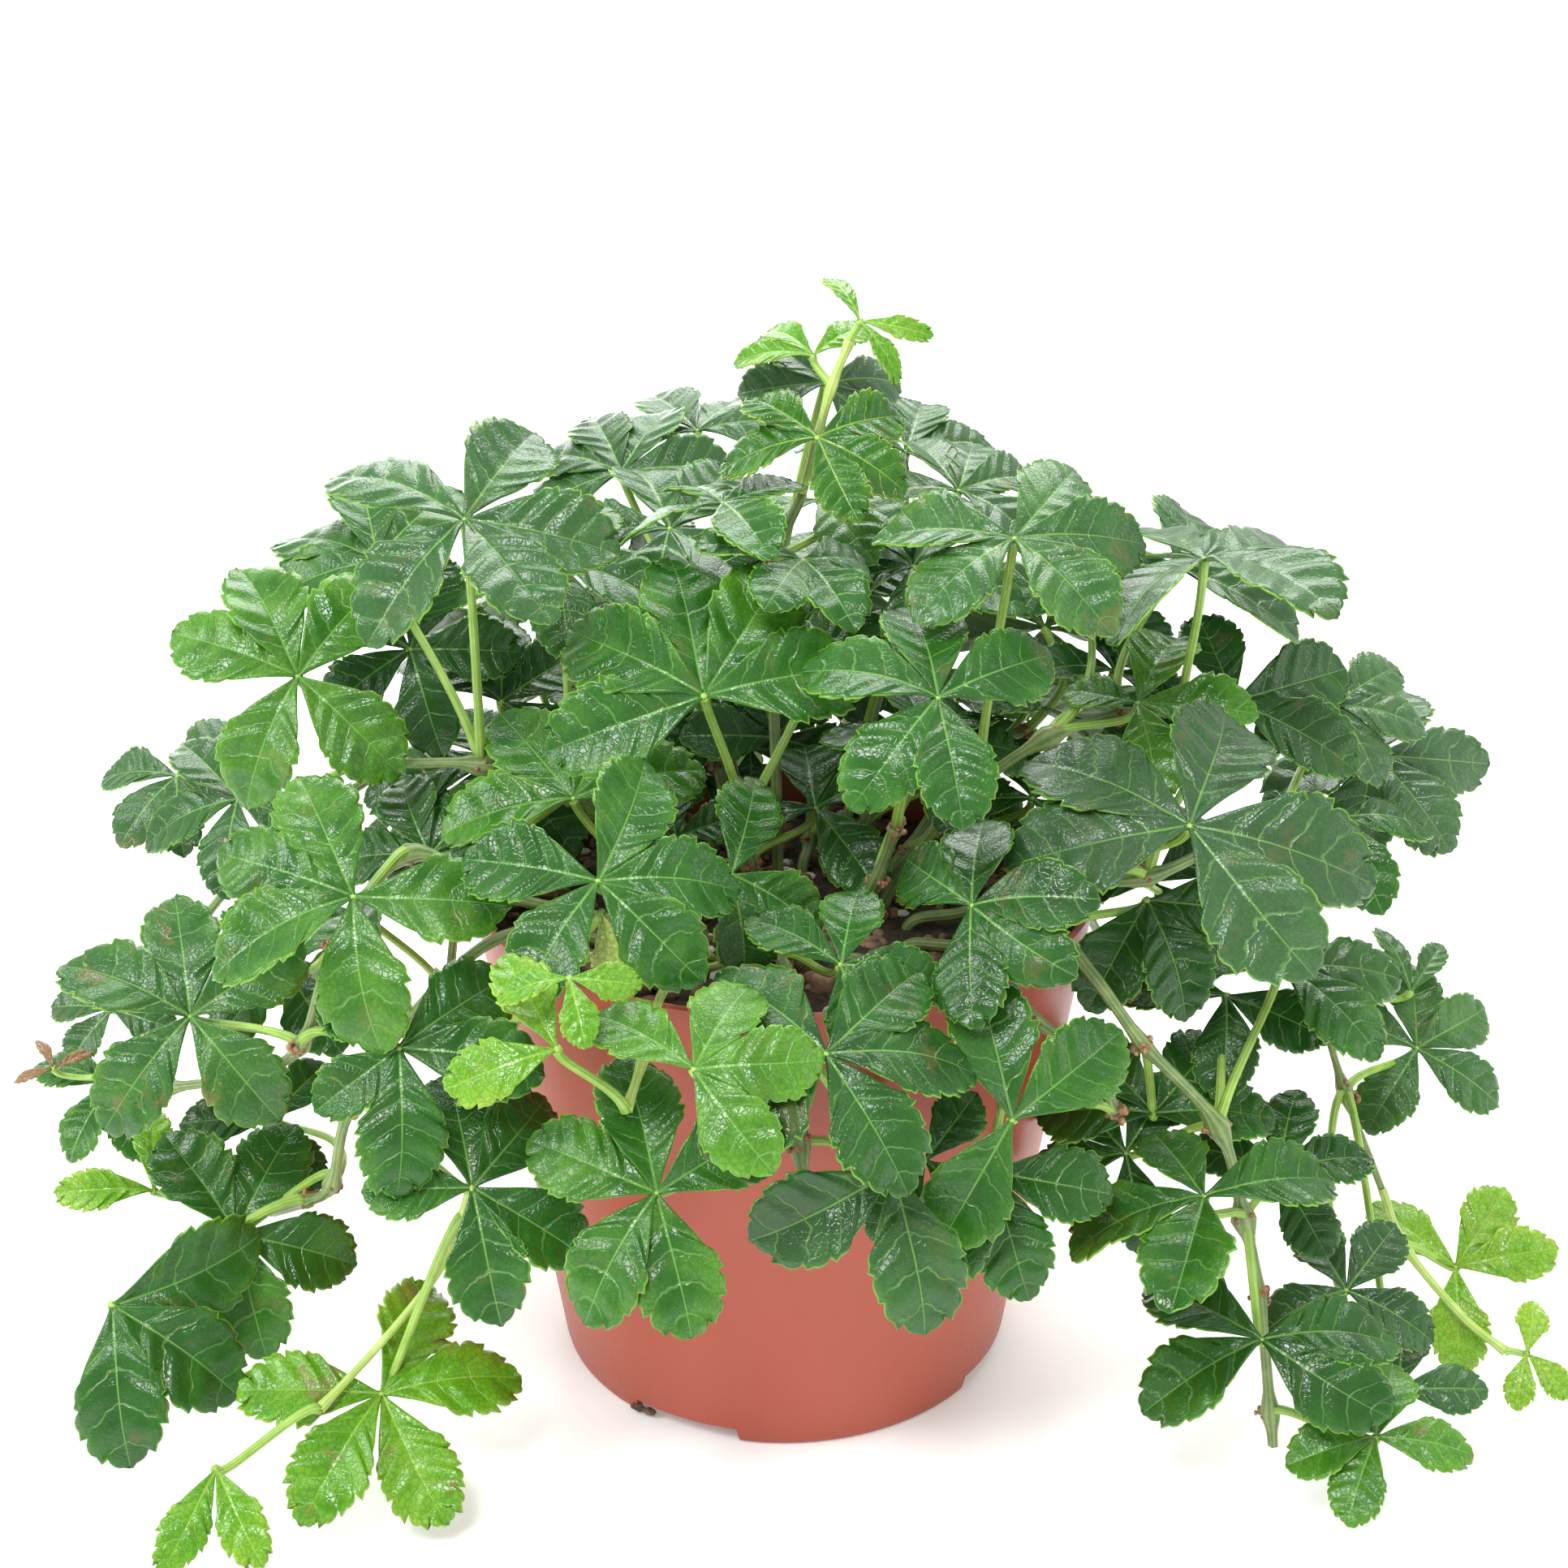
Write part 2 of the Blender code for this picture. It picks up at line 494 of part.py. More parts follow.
def blade_surface(posed):
    """The leaf's blade as one open surface, cut to the hub between its leaflets: points and triangles."""
    reach = posed["reach"]
    angles = posed["angles"]
    count = len(angles)
    points = [posed["hub"]]
    faces = []
    gaps = [(angles[(i + 1) % count] - angles[i]) % (2 * math.pi) or 2 * math.pi for i in range(count)]
    first_notch = {}
    last_notch = {}
    for i, gap in enumerate(gaps):
        turns = [gap / 2]
        if gap > OPEN_GAP:
            steps = max(1, math.ceil((gap - OPEN_GAP) / OPEN_STEP))
            turns = [OPEN_GAP / 2 + (gap - OPEN_GAP) * k / steps for k in range(steps + 1)]
        ring = []
        for t in turns:
            ring.append(len(points))
            points.append(leaf_point(posed, angles[i] + t, NOTCH_R, 0, 0))
        first_notch[i] = ring[0]
        last_notch[i] = ring[-1]
        faces += [(0, a, b) for a, b in zip(ring, ring[1:])]
    for i, angle in enumerate(angles):
        before = last_notch[i - 1 if i else count - 1]
        after = first_notch[i]
        room = [min(HALF_WIDTH * posed["width"], WIDE_AT * math.tan(min(gap / 2, WIDE_GAP)) - SIDE_GAP)
                for gap in (gaps[i - 1], gaps[i])]
        blunt = HALF_BLUNT * posed["width"]
        wide_z = reach * (CUP - DROOP * WIDE_AT ** 2)
        tip_z = -reach * DROOP * BLUNT_AT ** 2
        at = len(points)
        points.append(leaf_point(posed, angle, reach * WIDE_AT, -reach * room[0], wide_z))
        points.append(leaf_point(posed, angle, reach * BLUNT_AT, -reach * blunt, tip_z))
        points.append(leaf_point(posed, angle, reach * BLUNT_AT, reach * blunt, tip_z))
        points.append(leaf_point(posed, angle, reach * WIDE_AT, reach * room[1], wide_z))
        faces += [(0, before, after), (before, at, at + 3), (before, at + 3, after),
                  (at, at + 1, at + 2), (at, at + 2, at + 3)]
    return points, faces


def rim_edges(faces):
    """The edges that only one face has, in that face's direction."""
    sides = {(a, b) for face in faces for a, b in zip(face, face[1:] + face[:1])}
    return [(a, b) for a, b in sides if (b, a) not in sides]


def slab(points, faces, normal, half):
    """The blade with a thickness, as points and faces, for testing what it meets."""
    count = len(points)
    both = [p + normal * half for p in points] + [p - normal * half for p in points]
    under = [tuple(count + i for i in reversed(face)) for face in faces]
    rim = [(b, a, count + a, count + b) for a, b in rim_edges(faces)]
    return both, faces + under + rim


def petiole_path(joint, posed, bow):
    """From the stem up to the underside of the hub, where it meets the blade square on."""
    hub = posed["hub"]
    span = hub - joint
    steps = PETIOLE_STEPS if span.length > LONG_PETIOLE else PETIOLE_STEPS - 1
    beside = span.cross(Vector((0, 0, 1)))
    beside = beside.normalized() if beside.length > 1 else Vector((1, 0, 0))
    straight = min(STRAIGHT_MOST, PETIOLE_STRAIGHT * span.length)
    lift = Vector((0, 0, PETIOLE_RISE * span.length + bow[1]))
    a = joint
    b = joint + lift * LIFT_AT_STEM + span * SPAN_AT_STEM + beside * bow[0]
    c = hub - posed["normal"] * straight + beside * bow[0] * BOW_AT_HUB
    d = hub
    path = []
    for k in range(steps + 1):
        t = (k / steps) ** EARLY_BEND
        path.append(a * (1 - t) ** 3 + b * 3 * t * (1 - t) ** 2 + c * 3 * t * t * (1 - t) + d * t ** 3)
    return path


def sleeve(path, radius):
    """A four-sided tube round a path, as points and faces, for testing what it meets."""
    points = []
    faces = []
    for i, centre in enumerate(path):
        way = (path[min(i + 1, len(path) - 1)] - path[max(i - 1, 0)]).normalized()
        side = way.cross(Vector((0.3, 0.5, 0.8))).normalized()
        other = way.cross(side)
        points += [centre + side * radius, centre + other * radius, centre - side * radius,
                   centre - other * radius]
    for i in range(len(path) - 1):
        for k in range(4):
            a = 4 * i + k
            b = 4 * i + (k + 1) % 4
            faces.append((a, b, b + 4, a + 4))
    faces += [(3, 2, 1, 0), tuple(4 * len(path) - 4 + k for k in range(4))]
    return points, faces


def shape_of(points, faces, owner, kind="blade"):
    """A shape that others can be tested against, with its bounds."""
    low = Vector([min(p[k] for p in points) for k in range(3)])
    high = Vector([max(p[k] for p in points) for k in range(3)])
    return {"tree": BVHTree.FromPolygons(points, faces), "low": low, "high": high, "owner": owner,
            "kind": kind}


def meets(shape, others):
    for other in others:
        apart = any(shape["low"][k] > other["high"][k] or other["low"][k] > shape["high"][k]
                    for k in range(3))
        if not apart and shape["tree"].overlap(other["tree"]):
            return True
    return False


def pot_shape():
    """The pot's walls and the soil's top, for testing what meets them."""
    points = []
    faces = []
    rings = [(POT_FOOT_R, 0), (POT_TOP_R, POT_HEIGHT), (POT_TOP_R - POT_WALL, POT_HEIGHT),
             (POT_FLARE_R - POT_WALL, SOIL_EDGE_Z), (0.1, SOIL_MID_Z)]
    for r, z in rings:
        for k in range(TURNED_STEPS):
            turn = math.tau * k / TURNED_STEPS
            points.append(Vector((r * math.cos(turn), r * math.sin(turn), z)))
    for i in range(len(rings) - 1):
        for k in range(TURNED_STEPS):
            a = TURNED_STEPS * i + k
            b = TURNED_STEPS * i + (k + 1) % TURNED_STEPS
            faces.append((a, b, b + TURNED_STEPS, a + TURNED_STEPS))
    return shape_of(points, faces, "pot")


def settle(name, posed, joint, taken):
    """The petiole's path if the posed leaf is clear of all that is taken, which it then joins."""
    points, faces = blade_surface(posed)
    if min(p.z for p in points) < FLOOR_CLEAR + BLADE_THICK:
        return None
    room = shape_of(*slab(points, faces, posed["normal"], BLADE_THICK / 2 + CLEAR), name)
    if meets(room, taken):
        return None
    others = [s for s in taken if s["owner"] != name]
    own = [s for s in taken if s["owner"] == name and s["kind"] != "stem"]
    for bow in BOWS:
        path = petiole_path(joint, posed, bow)
        if min(p.z for p in path) < FLOOR_CLEAR + PETIOLE_R:
            continue
        around = shape_of(*sleeve(path, PETIOLE_R + CLEAR), name)
        beyond = shape_of(*sleeve([path[0].lerp(path[1], 0.5)] + path[1:], PETIOLE_R + OWN_CLEAR), name)
        if meets(around, others) or meets(beyond, own):
            continue
        taken.append(shape_of(*slab(points, faces, posed["normal"], BLADE_THICK / 2), name))
        taken.append(shape_of(*sleeve(path, PETIOLE_R), name, "petiole"))
        return path
    return None


def fit_leaf(name, leaf_plan, joint, taken):
    """The leaf and its petiole, turned and moved along the sight line until they are clear."""
    for turn, shift, size in CHOICES:
        posed = pose_leaf(leaf_plan, shift, turn, size)
        path = settle(name, posed, joint, taken)
        if path:
            return posed, path
    return None


def stem_foot(plan):
    """Where the stem stands in the soil, a little nearer the pot's axis than its first point."""
    first = plan["points"][0]
    return first.x * FOOT_SHARE, first.y * FOOT_SHARE


def stem_path(plan, plans):
    """The stem's points from its foot in the soil, or from just past the end of the stem it grows from."""
    if plan["grows_from"]:
        last, end = plans[plan["grows_from"]]["points"][-2:]
        onward = (end - last).normalized()
        return [end + onward * JOIN_GAP, end + onward * JOIN_STRAIGHT] + plan["points"]
    x, y = stem_foot(plan)
    return [Vector((x, y, STEM_FOOT)), Vector((x, y, STEM_CLEAR_Z))] + plan["points"]


def back_stems():
    """Stems that fan out behind the pot's axis. Every second one trails over the rim."""
    draw = random.Random(BACK_SEED)
    plans = {}
    for i in range(BACK_COUNT):
        share = i / (BACK_COUNT - 1)
        bearing = math.radians(BACK_FIRST_DEG + (BACK_LAST_DEG - BACK_FIRST_DEG) * share)
        points = []
        for r, z in BACK_RISE if i % 2 else BACK_RISE[:BACK_SHORT]:
            swing = bearing + draw.uniform(-BACK_SWING, BACK_SWING)
            waver = draw.uniform(-BACK_WAVER, BACK_WAVER)
            points.append((r * math.cos(swing), r * math.sin(swing), z + waver))
        plans[f"stem_back_{i + 1}"] = stem(points, [])
    return plans


def draw_back_leaf(draw, joint):
    """A leaf above a point of a back stem, leaning out from the pot's axis."""
    outward = math.atan2(joint.y, joint.x) + draw.uniform(*BACK_TURN)
    out = draw.uniform(*BACK_OUT)
    up = draw.uniform(*BACK_UP)
    hub = joint + Vector((out * math.cos(outward), out * math.sin(outward), up))
    tilt = math.radians(draw.uniform(*BACK_TILT_DEG) + BACK_LEAN_DEG * min(1, hub.xy.length / BACK_LEAN_R))
    normal = Vector((math.cos(outward) * math.sin(tilt), math.sin(outward) * math.sin(tilt), math.cos(tilt)))
    across = normal.cross(Vector((math.cos(outward), math.sin(outward), 0))).normalized()
    first = draw.uniform(0, math.tau)
    count = draw.choice(BACK_LEAFLETS)
    angles = [first + math.tau * k / 5 + draw.uniform(-0.1, 0.1) for k in range(count)]
    return {"hub": hub, "normal": normal, "across": across, "along": normal.cross(across),
            "angles": spread(angles), "reach": draw.uniform(*BACK_REACH), "width": 1.0}


def fit_plant(plans, backs):
    """Every stem's leaves, clear of each other: the shown ones nearest the eye first, then the back's."""
    taken = [pot_shape()]
    grown = {}
    for name, plan in {**plans, **backs}.items():
        path = stem_path(plan, plans)
        grown[name] = {"path": path, "leaves": []}
        taken.append(shape_of(*sleeve(path, STEM_R), name, "stem"))
    shown = [(name, one) for name, plan in plans.items() for one in plan["leaves"]]
    shown.sort(key=lambda pair: (EYE - pair[1]["hub"]).length)
    for name, one in shown:
        joint = plans[name]["points"][one["at"]]
        found = fit_leaf(name, one, joint, taken)
        if found:
            grown[name]["leaves"].append(found)
    draw = random.Random(BACK_SEED)
    for name, plan in backs.items():
        for joint in plan["points"][1:]:
            for _ in range(BACK_TRIES):
                posed = draw_back_leaf(draw, joint)
                if max(p.y for p in blade_surface(posed)[0]) > BACK_DEPTH:
                    continue
                path = settle(name, posed, joint, taken)
                if path:
                    grown[name]["leaves"].append((posed, path))
                    break
    return grown


def petiole_section(collection):
    """The petioles' three-sided section, as a guide that their curves are beveled with."""
    curve = bpy.data.curves.new("petiole_section", "CURVE")
    spline = curve.splines.new("POLY")
    spline.points.add(PETIOLE_SIDES - 1)
    for k, point in enumerate(spline.points):
        turn = math.tau * k / PETIOLE_SIDES
        point.co = (PETIOLE_R * MM * math.cos(turn), PETIOLE_R * MM * math.sin(turn), 0, 1)
    spline.use_cyclic_u = True
    section = place("petiole_section", curve, collection)
    hide_cutter(section)
    return section


def tube_object(name, path, collection, section=None):
    """A tube along the path, four-sided or of the given section, kept as a closed mesh."""
    curve = bpy.data.curves.new(name, "CURVE")
    curve.dimensions = "3D"
    if section:
        curve.bevel_mode = "OBJECT"
        curve.bevel_object = section
    else:
        curve.bevel_depth = STEM_R * MM
        curve.bevel_resolution = 0
    curve.use_fill_caps = True
    spline = curve.splines.new("POLY")
    spline.points.add(len(path) - 1)
    for point, centre in zip(spline.points, path):
        point.co = (*(centre * MM), 1)
    mesh = applied(place(name, curve, collection))
    weld(mesh)
    return place(name, mesh, collection)


def blade_object(name, posed, collection):
    points, faces = blade_surface(posed)
    blade = place(name, mesh_of(name, points, faces), collection)
    solidify = blade.modifiers.new("thickness", "SOLIDIFY")
    solidify.thickness = BLADE_THICK * MM
    solidify.offset = 0
    mesh = applied(blade)
    weld(mesh)
    return place(name, mesh, collection)


def make_stem(name, grown, parts, surface, section):
    """One leafy stem: its stem, petioles and blades, joined in one body."""
    pieces = new_collection("growing_" + name)
    for posed, path in grown["leaves"]:
        tube_object("petiole", path, pieces, section)
        blade_object("blade", posed, pieces)
    body = tube_object(name, grown["path"], parts)
    union = body.modifiers.new("grown_together", "BOOLEAN")
    union.operation = "UNION"
    union.operand_type = "COLLECTION"
    union.collection = pieces
    union.solver = "EXACT"
    mesh = applied(body)
    keep_outer(mesh)
    for thing in list(pieces.objects):
        bpy.data.objects.remove(thing, do_unlink=True)
    bpy.data.collections.remove(pieces)
    place(name, mesh, parts, surface)


def main():
    remove_everything()
    parts = new_collection("potted_grape_ivy")
    plans = STEMS
    backs = back_stems()
    grown = fit_plant(plans, backs)
    green = material("foliage", (0.03, 0.14, 0.03), 0.35)
    young = material("young_foliage", (0.16, 0.38, 0.05), 0.4)
    make_pot(parts, material("terracotta_plastic", (0.55, 0.17, 0.09), 0.45))
    feet = [stem_foot(plan) for plan in {**plans, **backs}.values() if not plan["grows_from"]]
    make_soil(parts, material("potting_mix", (0.05, 0.035, 0.025), 0.95), feet)
    section = petiole_section(new_collection("guides"))
    for name, one in grown.items():
        make_stem(name, one, parts, young if name.startswith("shoot") else green, section)


main()
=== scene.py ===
import json
import math
import random

import bmesh
import bpy
import numpy as np
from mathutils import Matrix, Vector, noise
from mathutils.bvhtree import BVHTree

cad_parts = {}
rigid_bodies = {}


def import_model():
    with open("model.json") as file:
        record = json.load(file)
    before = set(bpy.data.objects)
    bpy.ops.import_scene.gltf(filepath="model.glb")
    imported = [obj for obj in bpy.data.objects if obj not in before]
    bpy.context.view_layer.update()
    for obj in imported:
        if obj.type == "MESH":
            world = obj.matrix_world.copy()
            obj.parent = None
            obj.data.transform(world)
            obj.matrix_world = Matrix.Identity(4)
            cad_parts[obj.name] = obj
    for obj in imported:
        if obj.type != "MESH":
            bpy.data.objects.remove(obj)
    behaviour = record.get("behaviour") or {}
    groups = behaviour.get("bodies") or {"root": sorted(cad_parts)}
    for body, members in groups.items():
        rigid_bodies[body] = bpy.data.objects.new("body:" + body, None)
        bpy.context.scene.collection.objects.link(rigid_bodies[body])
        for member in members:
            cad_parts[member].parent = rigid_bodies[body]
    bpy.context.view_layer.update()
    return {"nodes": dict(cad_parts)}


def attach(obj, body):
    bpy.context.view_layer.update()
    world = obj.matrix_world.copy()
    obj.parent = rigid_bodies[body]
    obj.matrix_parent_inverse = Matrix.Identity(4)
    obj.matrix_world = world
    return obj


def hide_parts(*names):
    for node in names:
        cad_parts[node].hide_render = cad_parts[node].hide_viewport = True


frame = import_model()
mm = 0.001  # lengths below are in millimetres, as in the part's source
print("frame loaded, nodes:", len(frame["nodes"]))


# the plant's plan: the same stems, leaves and rule as its solids
# A leaf is the point of the stem that it grows from, the place of its hub, how far it faces right and up
# from the eye, its reach, the clock bearings of its leaflets, its tone from 0 dark to 1 light, and its width.
# a leaf's tone is partly its own green and partly painted light and shade: lighter where the leaf is lit,
# darker where it lies in shade
def leaf(at, hub, face, reach, hours, tone=None, width=1.0):
    return {"at": at, "hub": Vector(hub), "face": face, "reach": reach, "hours": hours, "tone": tone,
            "width": width}


def stem(points, leaves, growsFrom=None):
    return {"points": [Vector(p) for p in points], "leaves": [leaf(*row) for row in leaves],
            "growsFrom": growsFrom}


plant = {
    "stem_top": stem([(-2, 12, 140), (-3, 10, 168), (-2, 10, 186), (4, 10, 201)], [
        (1, (9, 25, 222), (0.2, 0.6), 19, (8.8, 10.2, 2.6, 4.2), 0.2),
        (2, (-13, -2, 202), (-0.2, 2.2), 23, (8.8, 10.4, 2.3, 4.5), 0.5),
        (2, (8, 25, 196), (0.3, 1.6), 24, (3.3, 4.3, 2.2, 8.6), 0.6),
        (1, (4, -4, 190), (0.2, 1.8), 22, (2.8, 4.6, 9.4, 7.4), 0.3),
    ]),
    "stem_back_left": stem([(-16, 34, 130), (-22, 42, 156), (-27, 50, 174)], [
        (1, (-39, 60, 194), (-0.3, 1.0), 27, (8.4, 9.7, 11.2, 0.8, 2.6), 0.2),
        (2, (-21, 70, 202), (0.1, 1.6), 26, (8.8, 10.5, 1.5, 2.9), 0.25),
        (0, (-26, 30, 188), (0.0, 1.0), 26, (9.0, 11.3, 1.6, 4.0, 6.5), 0.3),
    ]),
    "stem_back_right": stem([(18, 32, 130), (25, 38, 154), (31, 43, 170)], [
        (2, (29, 60, 199), (0.2, 1.3), 27, (1.0, 2.3, 3.4, 9.5, 7.2), 0.3),
        (1, (41, 50, 192), (0.3, 1.4), 25, (2.6, 4.0, 9.0, 10.6, 0.5), 0.35),
        (0, (29, 20, 182), (0.1, 0.9), 26, (8.6, 10.8, 1.2, 3.6, 6.0), 0.25),
    ]),
    "stem_left_upper": stem([(-32, -1, 124), (-47, -4, 137), (-66, -8, 145), (-88, -10, 146)], [
        (2, (-65, -20, 203), (-0.1, 0.9), 31, (9.9, 7.6, 1.2, 3.5, 4.6), 0.42),
        (3, (-104, -10, 166), (-0.1, 0.25), 29, (9.7, 11.2, 1.2, 4.4, 6.9), 0.72),
        (2, (-89, 10, 186), (-0.3, 0.8), 28, (8.8, 10.0, 11.5, 1.3), 0.4),
        (0, (-65, 6, 140), (-0.2, 1.1), 30, (8.7, 10.6, 7.2, 4.4), 0.25),
        (1, (-64, 14, 152), (0.1, 0.5), 25, (0.0, 1.9, 10.2, 4.0), 0.25),
        (1, (-50, 20, 183), (-0.1, 1.0), 25, (8.6, 10.8, 1.2, 3.6, 6.0), 0.3),
    ]),
    "stem_left_far": stem([(-44, 18, 120), (-66, 26, 132), (-90, 34, 130), (-114, 38, 114), (-134, 38, 98),
                           (-148, 30, 82)], [
        (3, (-150, 50, 120), (-0.2, 0.7), 21, (9.5, 7.5, 1.5, 5.9, 3.4), 0.4),
        (2, (-130, 30, 122), (-0.2, 0.6), 24, (8.5, 6.4, 3.8, 0.5, 10.5), 0.3),
        (2, (-84, 15, 164), (-0.1, 0.6), 24, (8.0, 10.2, 0.6, 3.0, 5.4), 0.25),
        (0, (-75, 12, 125), (-0.1, 0.6), 23, (7.6, 10.0, 5.0), 0.3),
        (5, (-163, 20, 71), (-0.3, 0.5), 16, (9.2, 10.9, 7.4, 3.6, 1.4), 0.35),
    ]),
    "stem_left_mid": stem([(-40, -20, 114), (-60, -30, 124), (-78, -36, 136), (-95, -36, 114),
                           (-105, -32, 89), (-120, -22, 76), (-142, -10, 66)], [
        (2, (-85, -60, 137), (-0.1, 0.35), 30, (11.2, 9.7, 8.3, 5.9, 3.1), 0.6),
        (4, (-77, -65, 106), (0.0, 0.25), 28, (10.2, 1.7, 3.2, 5.8, 7.8), 0.42),
        (4, (-129, -30, 95), (-0.1, 0.2), 29, (11.8, 10.0, 7.4, 4.6, 1.8), 0.5),
        (3, (-113, -6, 95), (-0.2, 0.6), 24, (11.0, 1.2, 5.0, 7.6), 0.45),
        (6, (-158, 0, 62), (-0.2, 0.4), 20, (7.2, 9.6, 5.2), 0.5),
        (6, (-170, -4, 68), (-0.2, 0.4), 9, (8.6, 11.2, 2.0), 0.5),
    ]),
    "stem_left_low": stem([(-34, -30, 112), (-56, -43, 121), (-74, -47, 108), (-92, -46, 82),
                           (-99, -40, 59), (-108, -26, 46), (-119, -15, 36)], [
        (3, (-63, -72, 78), (0.1, 0.3), 26, (5.5, 4.0, 1.3, 11.6, 9.0), 0.4),
        (4, (-124, -30, 40), (0.0, 0.2), 28, (10.9, 0.8, 3.4, 5.4), 0.5),
        (5, (-145, -55, 38), (-0.1, 0.15), 33, (2.4, 4.0, 5.7), 0.4),
    ]),
    "stem_front_left": stem([(-26, -18, 112), (-32, -32, 119)], [
        (0, (-45, -20, 142), (-0.1, 0.5), 28, (10.7, 8.7, 0.9, 2.4), 0.65),
        (1, (-36, -66, 143), (0.0, 0.3), 27, (9.5, 0.9, 2.9, 4.4, 7.2), 0.45),
    ]),
    "stem_front": stem([(0, -38, 112), (1, -67, 122), (2, -78, 113), (3, -82, 94), (5, -84, 80)], [
        (1, (8, -84, 115), (0.1, 0.3), 29, (10.4, 1.6, 3.0, 4.8, 7.6), 0.28),
        (1, (-17, -90, 115), (-0.1, 0.5), 23, (10.1, 2.9, 4.8, 0.9), 0.74),
        (3, (-24, -98, 93), (0.0, 0.15), 27, (9.7, 11.6, 1.9, 5.5, 7.2), 0.52),
        (2, (21, -90, 93), (0.1, 0.1), 30, (5.6, 8.0), 0.3),
        (0, (11, -70, 127), (0.1, 0.5), 21, (5.5, 3.3, 10.0, 0.4), 0.35),
    ]),
    "stem_centre": stem([(-8, -8, 122), (-9, -14, 134)], [
        (1, (-16, -40, 172), (0.0, 0.25), 33, (8.4, 10.1, 11.6, 1.0, 2.5), 0.5),
        (0, (-11, -40, 133), (0.0, 0.3), 26, (0.6, 3.8, 5.6, 8.8), 0.45),
        (0, (7, -6, 134), (0.0, 0.7), 25, (11.6, 4.6, 2.2, 8.6), 0.25),
        (1, (8, 8, 177), (0.1, 0.8), 26, (9.4, 11.6, 2.0, 4.4, 7.0), 0.3),
    ]),
    "stem_centre_right": stem([(20, -18, 122), (24, -22, 136)], [
        (1, (30, -50, 175), (0.1, 0.7), 27, (9.6, 11.7, 2.2, 7.3, 5.6), 0.4),
        (0, (33, -8, 150), (0.1, 0.8), 26, (9.4, 11.2, 1.0, 3.0, 5.4), 0.25),
    ]),
    "stem_right_upper": stem([(32, 0, 124), (43, -2, 138), (58, -2, 149), (74, 2, 153), (88, 4, 153)], [
        (1, (47, -20, 199), (0.1, 0.9), 28, (9.3, 7.8, 1.4, 2.8, 4.4), 0.45),
        (4, (88, -10, 192), (0.1, 4.2), 36, (2.6, 3.5, 8.4, 9.1, 9.7), 0.4),
        (2, (76, -10, 160), (0.2, 1.0), 25, (9.5, 3.2, 0.9, 5.4), 0.7),
        (3, (90, 30, 179), (0.3, 1.2), 31, (3.7, 2.3, 0.6, 9.2), 0.25),
        (2, (68, 25, 174), (0.2, 0.9), 25, (9.0, 11.4, 1.8, 4.2), 0.3),
    ]),
    "stem_right": stem([(40, -13, 112), (58, -21, 122), (77, -28, 127), (96, -16, 130), (112, 2, 127),
                        (124, 14, 115)], [
        (1, (81, -50, 148), (0.1, 0.6), 37, (10.1, 8.6, 0.6, 3.4, 4.6), 0.28),
        (2, (39, -40, 126), (0.0, 0.3), 25, (10.4, 11.8, 3.0, 4.4, 5.8), 0.25),
        (2, (99, 0, 157), (0.2, 0.5), 30, (11.3, 2.4, 3.9, 8.4), 0.25),
        (4, (126, 20, 149), (0.3, 0.7), 22, (3.3, 4.9, 1.9, 8.0), 0.45),
        (5, (139, 30, 133), (0.3, 0.8), 28, (3.2, 4.5, 6.2, 8.4, 0.8), 0.4),
        (3, (126, 10, 125), (0.2, 0.5), 23, (5.0, 7.4, 2.8), 0.3),
    ]),
    "stem_right_runner": stem([(38, -30, 112), (55, -44, 121), (63, -52, 116), (74, -54, 101),
                               (91, -53, 81), (98, -54, 59), (102, -57, 42), (106, -60, 14),
                               (107, -61, 6)], [
        (4, (107, -30, 107), (0.2, 0.8), 27, (9.4, 3.0, 4.3, 0.6), 0.4),
        (4, (98, -20, 95), (0.1, 0.5), 23, (9.4, 3.8, 6.0), 0.25),
        (1, (79, -20, 118), (0.1, 0.3), 26, (7.0, 5.2, 3.2), 0.2),
        (3, (79, -44, 79), (0.0, 0.4), 25, (1.4, 9.2, 2.9, 10.6), 0.35),
        (5, (85, -72, 76), (0.1, 1.0), 29, (8.6, 10.9, 2.6, 6.5), 0.5),
        (5, (100, -70, 40), (0.1, 0.5), 28, (10.0, 8.2, 2.7, 4.2), 0.35),
        (7, (123, -80, 23), (0.1, 0.5), 19, (8.6, 6.9, 0.5, 3.2), 0.7),
    ]),
    "stem_right_front": stem([(20, -40, 112), (35, -61, 121), (48, -68, 115), (61, -68, 104),
                              (67, -66, 92)], [
        (4, (45, -76, 96), (0.1, 0.2), 28, (11.5, 1.7, 7.0), 0.45),
        (2, (41, -74, 83), (0.1, 0.3), 25, (5.3, 7.0, 3.4), 0.35),
    ]),
    "stem_right_thin": stem([(52, 6, 119), (74, 10, 130), (96, 10, 124), (113, 4, 104), (124, 0, 82),
                             (130, -8, 64), (138, -18, 44)], [
        (5, (153, 15, 63), (0.3, 0.4), 23, (12.0, 1.9, 10.0, 7.0, 4.0), 0.5),
        (4, (153, 25, 73), (0.3, 0.4), 18, (11.7, 0.9), 0.5, 0.6),
        (5, (125, -42, 33), (0.1, 0.4), 20, (11.0, 1.3, 3.8, 8.4), 0.2),
        (5, (133, -60, 20), (0.1, 0.5), 19, (3.0, 0.4, 9.6), 0.25),
    ]),
    "shoot_top": stem([(7, 10, 212), (10, 9, 224), (14, 10, 234)], [
        (0, (7, 2, 215), (0.0, 0.9), 21, (10.2, 8.9, 2.2, 3.8, 4.9), 0.02),
        (1, (6, 8, 231), (-0.2, 1.4), 17, (10.1, 9.1, 1.8), 0.45, 0.8),
        (2, (16, 10, 238), (0.1, 0.9), 15, (10.9, 3.3, 4.5), 0.5, 0.6),
    ], growsFrom="stem_top"),
    "shoot_left": stem([(-22, -38, 112), (-43, -56, 121), (-54, -62, 110), (-62, -62, 88),
                        (-67, -60, 64), (-74, -58, 48), (-86, -63, 34), (-97, -76, 27)], [
